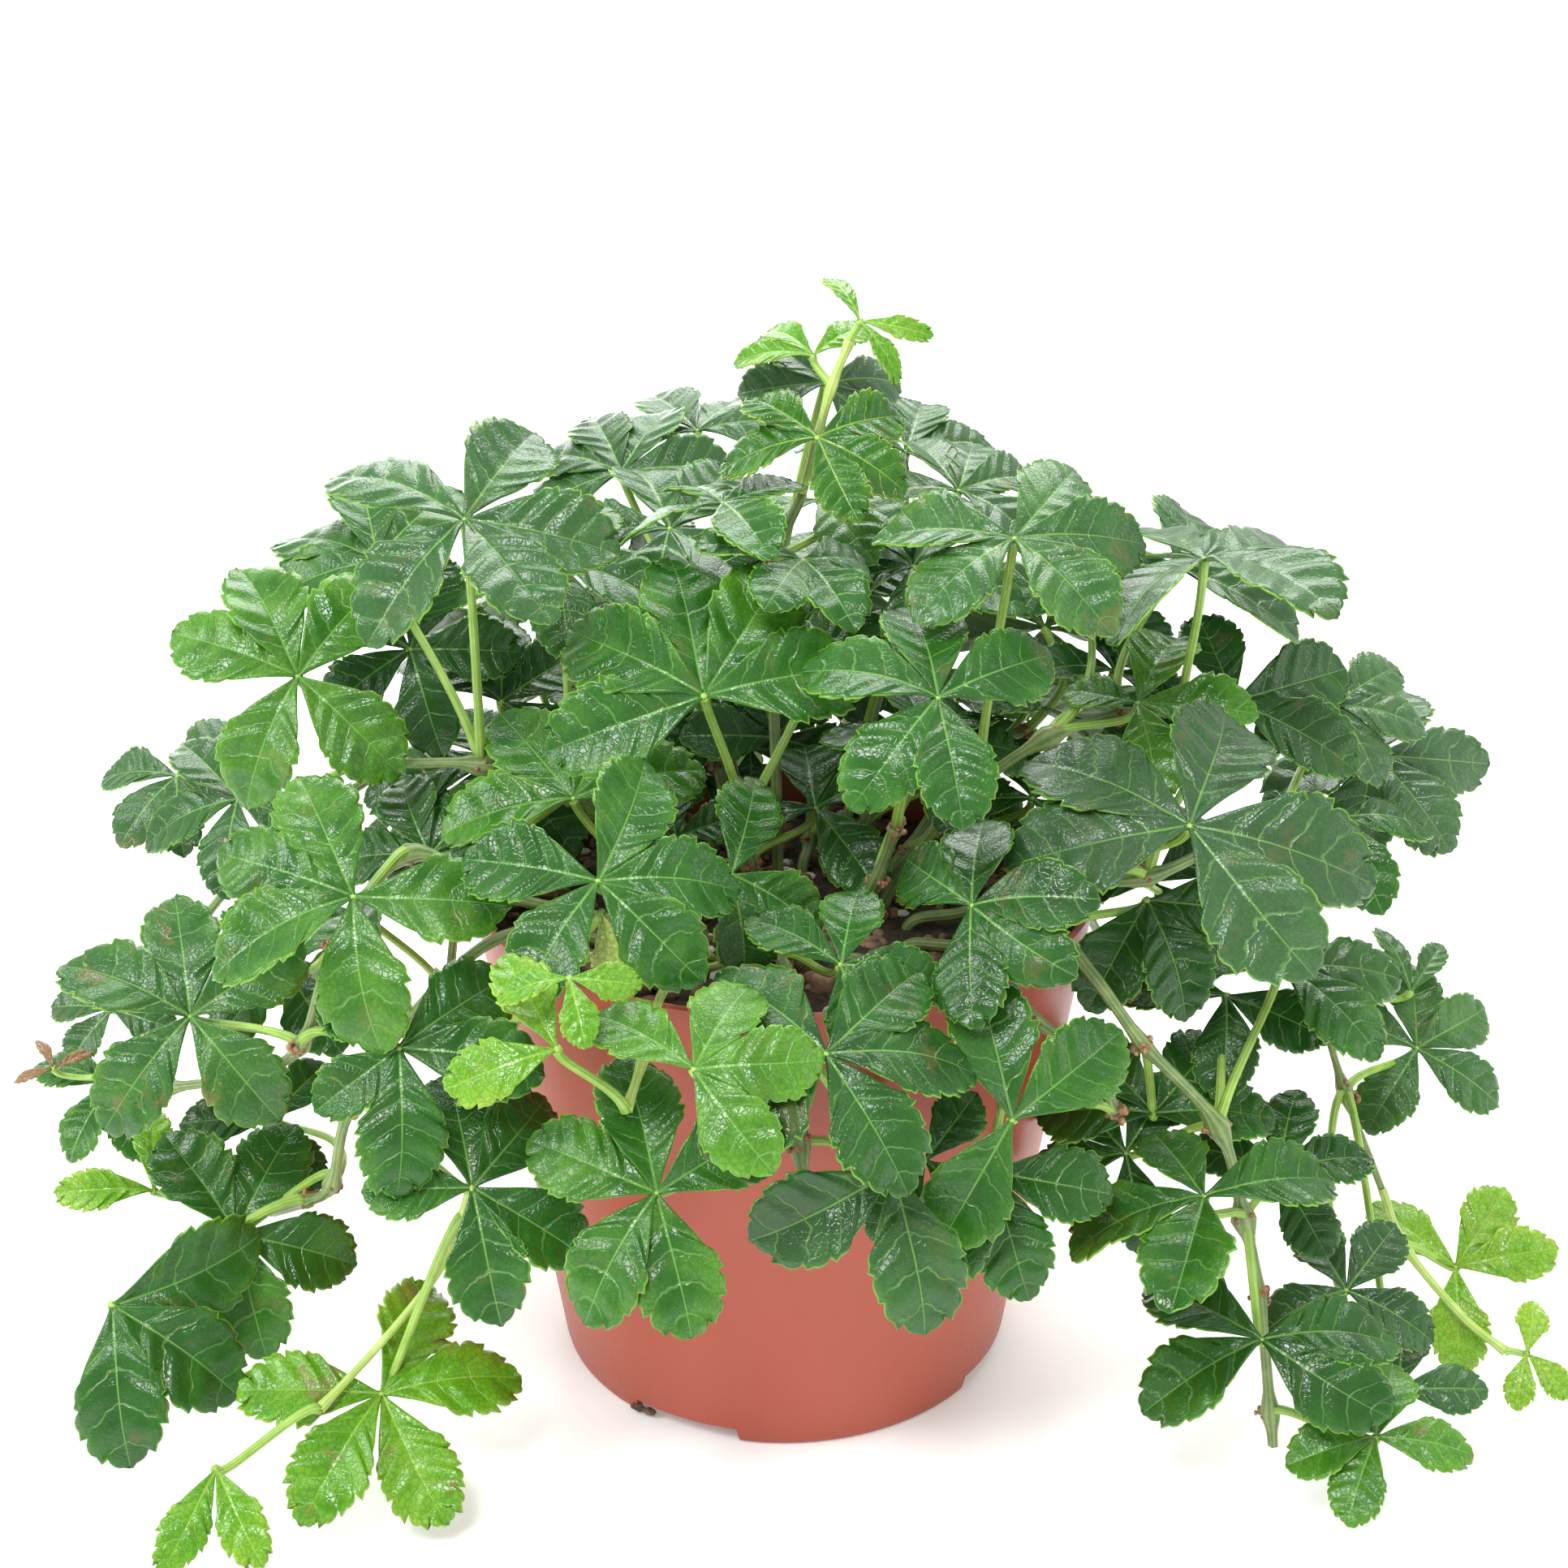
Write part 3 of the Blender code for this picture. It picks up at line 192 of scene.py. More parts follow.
        (4, (-84, -75, 30), (0.0, 0.4), 29, (9.1, 0.8, 2.6, 5.1, 7.1), 0.5),
        (7, (-114, -95, 27), (0.0, 0.4), 21, (5.0, 6.8), 0.55, 0.8),
    ]),
    "shoot_front": stem([(-14, -40, 112), (-23, -67, 121), (-27, -80, 112), (-30, -88, 105)], [
        (3, (-42, -95, 122), (0.0, 0.3), 21, (11.0, 8.4), 0.6),
        (2, (-40, -88, 133), (0.0, 0.6), 13, (8.7, 3.2, 5.4), 0.45),
    ]),
    "shoot_left_low": stem([(-128, -16, 36), (-136, -20, 42)], [
        (1, (-143, -25, 48), (0.0, 0.3), 21, (11.8, 9.0), 0.7, 0.8),
    ], growsFrom="stem_left_low"),
    "shoot_right": stem([(142, -26, 34), (152, -40, 25), (160, -48, 21)], [
        (0, (153, -30, 31), (0.1, 0.3), 23, (10.3, 1.1, 2.6, 6.1), 0.75),
        (2, (164, -50, 22), (0.1, 0.3), 12, (0.5, 4.4, 6.6), 0.85),
    ], growsFrom="stem_right_thin"),
}

# small leaves low among the stems, over the soil and behind the rim: dark with painted shade, but for
# shoot_left's pale one
infill = [
    ("stem_back_4", (0, (-8, 40, 131), (0.0, 0.7), 24, (9.0, 11.0, 1.0, 3.2, 6.0))),
    ("stem_back_1", (0, (58, 20, 126), (0.0, 0.6), 23, (9.0, 11.4, 1.6, 4.2))),
    ("stem_back_5", (0, (-38, 34, 128), (0.0, 0.7), 24, (8.6, 10.8, 1.4, 3.8))),
    ("stem_right", (1, (82, -8, 117), (0.0, 0.5), 22, (9.0, 11.4, 2.0, 4.6))),
    ("stem_right_runner", (4, (74, -42, 68), (0.0, 0.3), 24, (8.8, 10.6, 1.0, 5.6))),
    ("stem_right_runner", (5, (108, -40, 62), (0.0, 0.3), 20, (9.6, 0.4, 2.4, 5.0))),
    ("stem_left_low", (4, (-118, -14, 60), (0.0, 0.4), 20, (9.0, 11.0, 1.4, 5.0))),
    ("stem_front", (3, (28, -78, 88), (0.0, 0.3), 18, (10.6, 1.2, 4.4, 7.2))),
    ("stem_front_left", (0, (-24, -4, 126), (0.0, 0.6), 20, (9.0, 11.6, 2.4, 5.4))),
    ("shoot_left", (1, (-35, -72, 139), (0.0, 0.2), 16, (5.5,))),
    ("stem_back_2", (0, (38, 44, 122), (0.0, 0.3), 22, (9.0, 11.4, 1.8, 4.0))),
    ("stem_back_4", (0, (-20, 46, 122), (0.0, 0.3), 22, (9.2, 11.0, 1.2, 4.4))),
    ("stem_back_3", (1, (2, 60, 144), (0.0, 0.4), 24, (9.0, 11.2, 1.4, 3.6))),
    ("stem_back_3", (0, (20, 45, 140), (0.4, 0.4), 22, (10.0, 0.2, 2.4, 4.8))),
    ("stem_back_4", (1, (-2, 40, 134), (0.4, 0.4), 22, (9.0, 11.2, 1.4, 3.6))),
    ("stem_left_upper", (1, (-80, 0, 120), (-0.4, 0.4), 22, (9.0, 11.2, 1.4, 3.6))),
    ("stem_right_upper", (2, (76, 24, 156), (0.4, 0.4), 22, (9.0, 11.2, 1.4, 3.6))),
]

# how leaves settle past each other
settling = {
    "eye": Vector((0.0, -452.0, 314.0)),
    "turns": ((0, 0), (0, 0.3), (0.3, 0), (-0.3, 0), (0, -0.3), (0.5, 0.3), (-0.5, 0.3), (0, 0.7)),
    "shifts": (0, -4, 4, -8, 8, -12, 12, -17, 17, -22, 22, -28, 28),
    "sizes": (1, 0.9, 0.8),
    "turnCost": 16,
    "sizeCost": 90,
    "bows": ((0, 0), (6, 0), (-6, 0), (0, 6), (0, -6), (12, 0), (-12, 0), (12, 8), (-12, 8), (0, 14)),
    "clear": 1.4,
    "ownClear": 0.3,
    "floorClear": 0.8,
    "leastFacing": 0.2,
}


def sightAxes(place):
    towards = (settling["eye"] - place).normalized()
    right = Vector((1, 0, 0))
    right = (right - towards * towards.dot(right)).normalized()
    return right, towards.cross(right), towards


bladeSizes = {
    "thick": 0.8,
    "wideAt": 0.62,
    "halfWidth": 0.33,
    "bluntAt": 0.94,
    "halfBlunt": 0.17,
    "droop": 0.13,
    "cup": 0.05,
    "sideGap": 0.02,
    "wideGap": 1.2,
    "notch": 3.2,
    "leastGap": math.radians(44),
    "openGap": math.radians(115),
    "openStep": math.radians(80),
    "spreadRounds": 60,
}


def spread(angles):
    angles = sorted(a % (2 * math.pi) for a in angles)
    count = len(angles)
    for _ in range(bladeSizes["spreadRounds"]):
        for i in range(count):
            j = (i + 1) % count
            lack = bladeSizes["leastGap"] - (angles[j] - angles[i]) % (2 * math.pi)
            if lack > 0:
                angles[i] -= lack / 2
                angles[j] += lack / 2
    return sorted(a % (2 * math.pi) for a in angles)


def poseLeaf(plan, shift, turn, size):
    hub = plan["hub"] + sightAxes(plan["hub"])[2] * shift
    right, up, towards = sightAxes(hub)
    faceRight = plan["face"][0] + turn[0]
    faceUp = plan["face"][1] + turn[1]
    normal = (towards + right * faceRight + up * faceUp).normalized()
    across = (right - normal * normal.dot(right)).normalized()
    along = normal.cross(across)
    angles = []
    for hour in plan["hours"]:
        bearing = math.radians(30 * hour)
        seen = right * math.sin(bearing) + up * math.cos(bearing)
        depth = -normal.dot(seen) / max(normal.dot(towards), settling["leastFacing"])
        way = seen + towards * depth
        angles.append(math.atan2(way.dot(along), way.dot(across)))
    return {"hub": hub, "normal": normal, "across": across, "along": along, "angles": spread(angles),
            "reach": plan["reach"] * size, "width": plan["width"]}


def leafPoint(posed, angle, out, side, height):
    way = posed["across"] * math.cos(angle) + posed["along"] * math.sin(angle)
    beside = posed["along"] * math.cos(angle) - posed["across"] * math.sin(angle)
    return posed["hub"] + way * out + beside * side + posed["normal"] * height


def gapsOf(angles):
    count = len(angles)
    return [(angles[(i + 1) % count] - angles[i]) % (2 * math.pi) or 2 * math.pi for i in range(count)]


def bladeSurface(posed):
    s = bladeSizes
    reach = posed["reach"]
    angles = posed["angles"]
    count = len(angles)
    points = [posed["hub"]]
    faces = []
    gaps = gapsOf(angles)
    firstNotch = {}
    lastNotch = {}
    for i, gap in enumerate(gaps):
        turns = [gap / 2]
        if gap > s["openGap"]:
            steps = max(1, math.ceil((gap - s["openGap"]) / s["openStep"]))
            turns = [s["openGap"] / 2 + (gap - s["openGap"]) * k / steps for k in range(steps + 1)]
        ring = []
        for t in turns:
            ring.append(len(points))
            points.append(leafPoint(posed, angles[i] + t, s["notch"], 0, 0))
        firstNotch[i] = ring[0]
        lastNotch[i] = ring[-1]
        faces += [(0, a, b) for a, b in zip(ring, ring[1:])]
    for i, angle in enumerate(angles):
        before = lastNotch[i - 1 if i else count - 1]
        after = firstNotch[i]
        widest = s["halfWidth"] * posed["width"]
        room = [min(widest, s["wideAt"] * math.tan(min(gap / 2, s["wideGap"])) - s["sideGap"])
                for gap in (gaps[i - 1], gaps[i])]
        blunt = s["halfBlunt"] * posed["width"]
        wideHeight = reach * (s["cup"] - s["droop"] * s["wideAt"] ** 2)
        tipHeight = -reach * s["droop"] * s["bluntAt"] ** 2
        at = len(points)
        points.append(leafPoint(posed, angle, reach * s["wideAt"], -reach * room[0], wideHeight))
        points.append(leafPoint(posed, angle, reach * s["bluntAt"], -reach * blunt, tipHeight))
        points.append(leafPoint(posed, angle, reach * s["bluntAt"], reach * blunt, tipHeight))
        points.append(leafPoint(posed, angle, reach * s["wideAt"], reach * room[1], wideHeight))
        faces += [(0, before, after), (before, at, at + 3), (before, at + 3, after),
                  (at, at + 1, at + 2), (at, at + 2, at + 3)]
    return points, faces


def slabOf(points, faces, normal, half):
    count = len(points)
    sides = {(a, b) for face in faces for a, b in zip(face, face[1:] + face[:1])}
    both = [p + normal * half for p in points] + [p - normal * half for p in points]
    under = [tuple(count + i for i in reversed(face)) for face in faces]
    rim = [(b, a, count + a, count + b) for a, b in sides if (b, a) not in sides]
    return both, faces + under + rim


stalkSizes = {
    "stemRadius": 1.5,
    "petioleRadius": 1.4,
    "petioleSteps": 3,
    "longPetiole": 32.0,
    "rise": 0.3,
    "straight": 0.45,
    "straightMost": 14.0,
    "liftAtStem": 0.6,
    "spanAtStem": 0.15,
    "bowAtHub": 0.6,
    "earlyBend": 0.85,
    "foot": 92.3,
    "clearHeight": 107.0,
    "footShare": 0.7,
    "joinGap": 0.3,
    "joinStraight": 3.0,
    "askew": (0.3, 0.5, 0.8),  # a direction that no stalk runs in
}


def petioleRoute(joint, posed, bow, steps=None):
    s = stalkSizes
    hub = posed["hub"]
    span = hub - joint
    if steps is None:
        steps = s["petioleSteps"] if span.length > s["longPetiole"] else s["petioleSteps"] - 1
    beside = span.cross(Vector((0, 0, 1)))
    beside = beside.normalized() if beside.length > 1 else Vector((1, 0, 0))
    straight = min(s["straightMost"], s["straight"] * span.length)
    lift = Vector((0, 0, s["rise"] * span.length + bow[1]))
    a = joint
    b = joint + lift * s["liftAtStem"] + span * s["spanAtStem"] + beside * bow[0]
    c = hub - posed["normal"] * straight + beside * bow[0] * s["bowAtHub"]
    d = hub
    route = []
    for k in range(steps + 1):
        t = (k / steps) ** s["earlyBend"]
        route.append(a * (1 - t) ** 3 + b * 3 * t * (1 - t) ** 2 + c * 3 * t * t * (1 - t) + d * t ** 3)
    return route


def sleeveOf(route, radius):
    points = []
    faces = []
    for i, centre in enumerate(route):
        way = (route[min(i + 1, len(route) - 1)] - route[max(i - 1, 0)]).normalized()
        side = way.cross(Vector(stalkSizes["askew"])).normalized()
        other = way.cross(side)
        points += [centre + side * radius, centre + other * radius, centre - side * radius,
                   centre - other * radius]
    for i in range(len(route) - 1):
        for k in range(4):
            a = 4 * i + k
            b = 4 * i + (k + 1) % 4
            faces.append((a, b, b + 4, a + 4))
    faces += [(3, 2, 1, 0), tuple(4 * len(route) - 4 + k for k in range(4))]
    return points, faces


def shapeOf(points, faces, owner, kind="blade"):
    low = Vector([min(p[k] for p in points) for k in range(3)])
    high = Vector([max(p[k] for p in points) for k in range(3)])
    return {"tree": BVHTree.FromPolygons(points, faces), "low": low, "high": high, "owner": owner,
            "kind": kind}


def meets(shape, others):
    for other in others:
        apart = any(shape["low"][k] > other["high"][k] or other["low"][k] > shape["high"][k]
                    for k in range(3))
        if not apart and shape["tree"].overlap(other["tree"]):
            return True
    return False


potSizes = {
    "topRadius": 70.0,
    "flareRadius": 68.4,
    "flareHeight": 105.0,
    "footRadius": 53.0,
    "height": 116.0,
    "wall": 1.5,
    "footRing": 2.8,
    "floorUnder": 5.0,
    "floorTop": 6.6,
    "notches": 4,
    "firstNotch": -115.0,
    "notchWidth": 27.0,
    "notchHeight": 3.6,
    "drainCentre": 4.0,
    "drain": 3.0,
    "drainCircle": 34.0,
    "drains": 6,
    "solidSteps": 32,
    "steps": 144,
    "lipRound": 0.55,
    "soilEdge": 103.0,
    "soilMiddle": 106.0,
    "nearAxis": 0.1,
    "flareSoft": 0.6,
    "flareSwell": (0.15, -0.05),  # over and under the flare
    "footSwell": (0.35, 2.0),
    "footRound": 0.5,
    "footRoundIn": 0.4,
    "lipInside": 0.8,
    "notchTaper": 0.93,
    "notchInside": 1.4,
    "drainSides": 24,
    "drainLength": 8,
    "drainMiddle": 5.8,
    "sharpFrom": math.radians(32),
    "weld": 0.00001,
}


def potShape():
    s = potSizes
    steps = s["solidSteps"]
    points = []
    faces = []
    rings = [(s["footRadius"], 0), (s["topRadius"], s["height"]), (s["topRadius"] - s["wall"], s["height"]),
             (s["flareRadius"] - s["wall"], s["soilEdge"]), (s["nearAxis"], s["soilMiddle"])]
    for r, z in rings:
        for k in range(steps):
            turn = math.tau * k / steps
            points.append(Vector((r * math.cos(turn), r * math.sin(turn), z)))
    for i in range(len(rings) - 1):
        for k in range(steps):
            a = steps * i + k
            b = steps * i + (k + 1) % steps
            faces.append((a, b, b + steps, a + steps))
    return shapeOf(points, faces, "pot")


def settle(name, posed, joint, taken):
    points, faces = bladeSurface(posed)
    if min(p.z for p in points) < settling["floorClear"] + bladeSizes["thick"]:
        return None
    half = bladeSizes["thick"] / 2
    room = shapeOf(*slabOf(points, faces, posed["normal"], half + settling["clear"]), name)
    if meets(room, taken):
        return None
    others = [s for s in taken if s["owner"] != name]
    own = [s for s in taken if s["owner"] == name and s["kind"] != "stem"]
    radius = stalkSizes["petioleRadius"]
    for bow in settling["bows"]:
        route = petioleRoute(joint, posed, bow)
        if min(p.z for p in route) < settling["floorClear"] + radius:
            continue
        around = shapeOf(*sleeveOf(route, radius + settling["clear"]), name)
        beyond = [route[0].lerp(route[1], 0.5)] + route[1:]
        beyond = shapeOf(*sleeveOf(beyond, radius + settling["ownClear"]), name)
        if meets(around, others) or meets(beyond, own):
            continue
        taken.append(shapeOf(*slabOf(points, faces, posed["normal"], half), name))
        taken.append(shapeOf(*sleeveOf(route, radius), name, "petiole"))
        return bow
    return None


def fitLeaf(name, plan, joint, taken):
    s = settling

    def costOf(choice):
        turn, shift, size = choice
        return s["turnCost"] * (abs(turn[0]) + abs(turn[1])) + abs(shift) + s["sizeCost"] * (1 - size)

    choices = [(turn, shift, size) for turn in s["turns"] for shift in s["shifts"] for size in s["sizes"]]
    for turn, shift, size in sorted(choices, key=costOf):
        posed = poseLeaf(plan, shift, turn, size)
        bow = settle(name, posed, joint, taken)
        if bow:
            return posed, bow
    return None


def stemRoute(plan, plans):
    s = stalkSizes
    if plan["growsFrom"]:
        last, end = plans[plan["growsFrom"]]["points"][-2:]
        onward = (end - last).normalized()
        return [end + onward * s["joinGap"], end + onward * s["joinStraight"]] + plan["points"]
    first = plan["points"][0]
    x, y = first.x * s["footShare"], first.y * s["footShare"]
    return [Vector((x, y, s["foot"])), Vector((x, y, s["clearHeight"]))] + plan["points"]


# the back's stems, by rule
backGrowth = {
    "seed": 11,
    "count": 6,
    "bearings": (28.0, 160.0),
    "rise": ((32, 114), (48, 130), (64, 138), (80, 124), (86, 98), (87, 72)),
    "shortPoints": 4,
    "swing": 0.05,
    "waver": 3.0,
    "out": (-6, 26),
    "up": (6, 46),
    "turn": (-0.9, 0.9),
    "tilt": (12, 30),
    "lean": 32.0,
    "leanRadius": 130.0,
    "leaflets": (4, 5, 5, 5),
    "fullLeaf": 5,
    "uneven": (-0.1, 0.1),
    "reach": (24, 30),
    "depth": 117.5,
    "tries": 100,
}


def backStems():
    g = backGrowth
    draw = random.Random(g["seed"])
    plans = {}
    first, last = g["bearings"]
    for i in range(g["count"]):
        bearing = math.radians(first + (last - first) * (i / (g["count"] - 1)))
        points = []
        for r, z in g["rise"] if i % 2 else g["rise"][:g["shortPoints"]]:
            swing = bearing + draw.uniform(-g["swing"], g["swing"])
            waver = draw.uniform(-g["waver"], g["waver"])
            points.append((r * math.cos(swing), r * math.sin(swing), z + waver))
        plans[f"stem_back_{i + 1}"] = stem(points, [])
    return plans


def drawBackLeaf(draw, joint):
    g = backGrowth
    outward = math.atan2(joint.y, joint.x) + draw.uniform(*g["turn"])
    out = draw.uniform(*g["out"])
    up = draw.uniform(*g["up"])
    hub = joint + Vector((out * math.cos(outward), out * math.sin(outward), up))
    tilt = math.radians(draw.uniform(*g["tilt"]) + g["lean"] * min(1, hub.xy.length / g["leanRadius"]))
    normal = Vector((math.cos(outward) * math.sin(tilt), math.sin(outward) * math.sin(tilt), math.cos(tilt)))
    across = normal.cross(Vector((math.cos(outward), math.sin(outward), 0))).normalized()
    first = draw.uniform(0, math.tau)
    count = draw.choice(g["leaflets"])
    angles = [first + math.tau * k / g["fullLeaf"] + draw.uniform(*g["uneven"]) for k in range(count)]
    return {"hub": hub, "normal": normal, "across": across, "along": normal.cross(across),
            "angles": spread(angles), "reach": draw.uniform(*g["reach"]), "width": 1.0}


def addGrown(one, posed, bow, joint, place="low", tone=None):
    one["leaves"].append({"posed": posed, "bow": bow, "joint": joint, "place": place, "tone": tone})


def fitPlant(plans, backs):
    taken = [potShape()]
    grown = {}
    for name, plan in {**plans, **backs}.items():
        route = stemRoute(plan, plans)
        grown[name] = {"route": route, "leaves": [], "plan": plan}
        taken.append(shapeOf(*sleeveOf(route, stalkSizes["stemRadius"]), name, "stem"))
    shown = [(name, one) for name, plan in plans.items() for one in plan["leaves"]]
    shown.sort(key=lambda pair: (settling["eye"] - pair[1]["hub"]).length)
    for name, one in shown:
        joint = plans[name]["points"][one["at"]]
        found = fitLeaf(name, one, joint, taken)
        if found:
            place = plans[name]["leaves"].index(one)
            addGrown(grown[name], *found, joint, place, one["tone"])
    draw = random.Random(backGrowth["seed"])
    for name, plan in backs.items():
        for joint in plan["points"][1:]:
            for _ in range(backGrowth["tries"]):
                posed = drawBackLeaf(draw, joint)
                if max(p.y for p in bladeSurface(posed)[0]) > backGrowth["depth"]:
                    continue
                bow = settle(name, posed, joint, taken)
                if bow:
                    addGrown(grown[name], posed, bow, joint)
                    break
    for name, row in infill:
        one = leaf(*row)
        joint = grown[name]["plan"]["points"][one["at"]]
        found = fitLeaf(name, one, joint, taken)
        if found:
            addGrown(grown[name], *found, joint)
    return grown


# materials
def newMaterial(name):
    made = bpy.data.materials.new(name)
    made.use_nodes = True
    tree = made.node_tree
    tree.nodes.clear()
    out = tree.nodes.new("ShaderNodeOutputMaterial")
    shader = tree.nodes.new("ShaderNodeBsdfPrincipled")
    tree.links.new(shader.outputs[0], out.inputs[0])
    return made, tree, shader


def feed(tree, value, socket):
    if isinstance(value, bpy.types.NodeSocket):
        tree.links.new(value, socket)
    else:
        socket.default_value = value


def maths(tree, operation, a, b=0.0, clamp=False):
    node = tree.nodes.new("ShaderNodeMath")
    node.operation = operation
    node.use_clamp = clamp
    feed(tree, a, node.inputs[0])
    feed(tree, b, node.inputs[1])
    return node.outputs[0]


def ramp(tree, value, low, high, toLow=0.0, toHigh=1.0):
    node = tree.nodes.new("ShaderNodeMapRange")
    feed(tree, value, node.inputs["Value"])
    node.inputs["From Min"].default_value = low
    node.inputs["From Max"].default_value = high
    node.inputs["To Min"].default_value = toLow
    node.inputs["To Max"].default_value = toHigh
    return node.outputs[0]


def blendColours(tree, share, a, b):
    node = tree.nodes.new("ShaderNodeMix")
    node.data_type = "RGBA"
    feed(tree, share, node.inputs[0])
    feed(tree, a if isinstance(a, bpy.types.NodeSocket) else (*a, 1.0), node.inputs[6])
    feed(tree, b if isinstance(b, bpy.types.NodeSocket) else (*b, 1.0), node.inputs[7])
    return node.outputs[2]


def noiseAt(tree, vector, scale, detail=2.0, rough=0.5):
    node = tree.nodes.new("ShaderNodeTexNoise")
    node.inputs["Scale"].default_value = scale
    node.inputs["Detail"].default_value = detail
    node.inputs["Roughness"].default_value = rough
    tree.links.new(vector, node.inputs["Vector"])
    return node.outputs["Fac"]


def cellsAt(tree, vector, scale, feature="F1"):
    node = tree.nodes.new("ShaderNodeTexVoronoi")
    node.feature = feature
    node.inputs["Scale"].default_value = scale
    tree.links.new(vector, node.inputs["Vector"])
    return node.outputs["Distance"]


def objectSpace(tree):
    return tree.nodes.new("ShaderNodeTexCoord").outputs["Object"]


def bumped(tree, shader, height, strength, distance):
    node = tree.nodes.new("ShaderNodeBump")
    node.inputs["Strength"].default_value = strength
    node.inputs["Distance"].default_value = distance
    tree.links.new(height, node.inputs["Height"])
    tree.links.new(node.outputs[0], shader.inputs["Normal"])


def mapOf(tree, name):
    node = tree.nodes.new("ShaderNodeUVMap")
    node.uv_map = name
    split = tree.nodes.new("ShaderNodeSeparateXYZ")
    tree.links.new(node.outputs[0], split.inputs[0])
    return node.outputs[0], split.outputs[0], split.outputs[1]


# the grown leaves' greyish green (0.066, 0.122, 0.064) is a painted sheen over the green, not a colour of the
# leaf; the young leaves' pale yellow (0.50, 0.58, 0.17) is their own colour
leafColours = {
    # dark to light greens: the leaves' own greens, with painted shade at the dark end and painted light at
    # the light end
    "grown": {"dark": (0.008, 0.040, 0.006), "mid": (0.020, 0.108, 0.007), "light": (0.095, 0.265, 0.014),
              "margin": (0.18, 0.38, 0.03), "vein": (0.16, 0.34, 0.07), "sheenAndPale": (0.066, 0.122, 0.064)},
    "young": {"dark": (0.020, 0.11, 0.005), "mid": (0.095, 0.28, 0.008), "light": (0.23, 0.41, 0.022),
              "margin": (0.31, 0.45, 0.045), "vein": (0.26, 0.43, 0.06), "sheenAndPale": (0.50, 0.58, 0.17)},
    "dry": (0.20, 0.11, 0.045),
    "net": (0.010, 0.055, 0.008),
    "back": (0.17, 0.29, 0.11),
    "roughness": (0.16, 0.32),
    "specular": 0.38,
    "undersideShare": 0.55,
}


middling = (0.3, 0.7)  # most of a noise's values lie between these
# four numbers stand for a ramp: from, to, and what it gives at either end. A noise has its scale and detail.
leafShading = {
    "mottle": (110.0, 3.0),
    "mottleLift": (-0.16, 0.16),
    "sideLift": (0.55, 1.0, 0.0, 0.16),
    "sheenAndPaleShare": 0.75,
    "ruffle": 0.05,
    "ruffleScale": 6.0,
    "netScale": 8.5,
    "netEdge": (0.0, 0.16, 1.0, 0.0),
    "netShare": 0.38,
    "netBelow": 0.15,
    "ribTaper": (-1.2, 5.0, 0.0, 0.028),
    "ribEdge": (0.020, 0.037, 1.0, 0.0),
    "wander": (-0.09, 0.09),
    "wanderScale": 3.0,
    "veinEdge": (0.012, 0.045, 1.0, 0.0),
    "veinEnd": (0.55, 0.92, 1.0, 0.0),
    "ribShare": 0.72,
    "veinShare": 0.38,
    "margin": (0.955, 0.995, 0.0, 0.8),
    "spots": (120.0, 4.0, 0.6),
    "spotEdge": (0.60, 0.66),
    "allDry": (0.85, 1.0),
    "dullBelow": 0.25,
    "mottleHeight": 0.5,
    "netDepth": 0.16,
    "veinDepth": 0.6,
    "bump": (0.4, 0.0005),
}


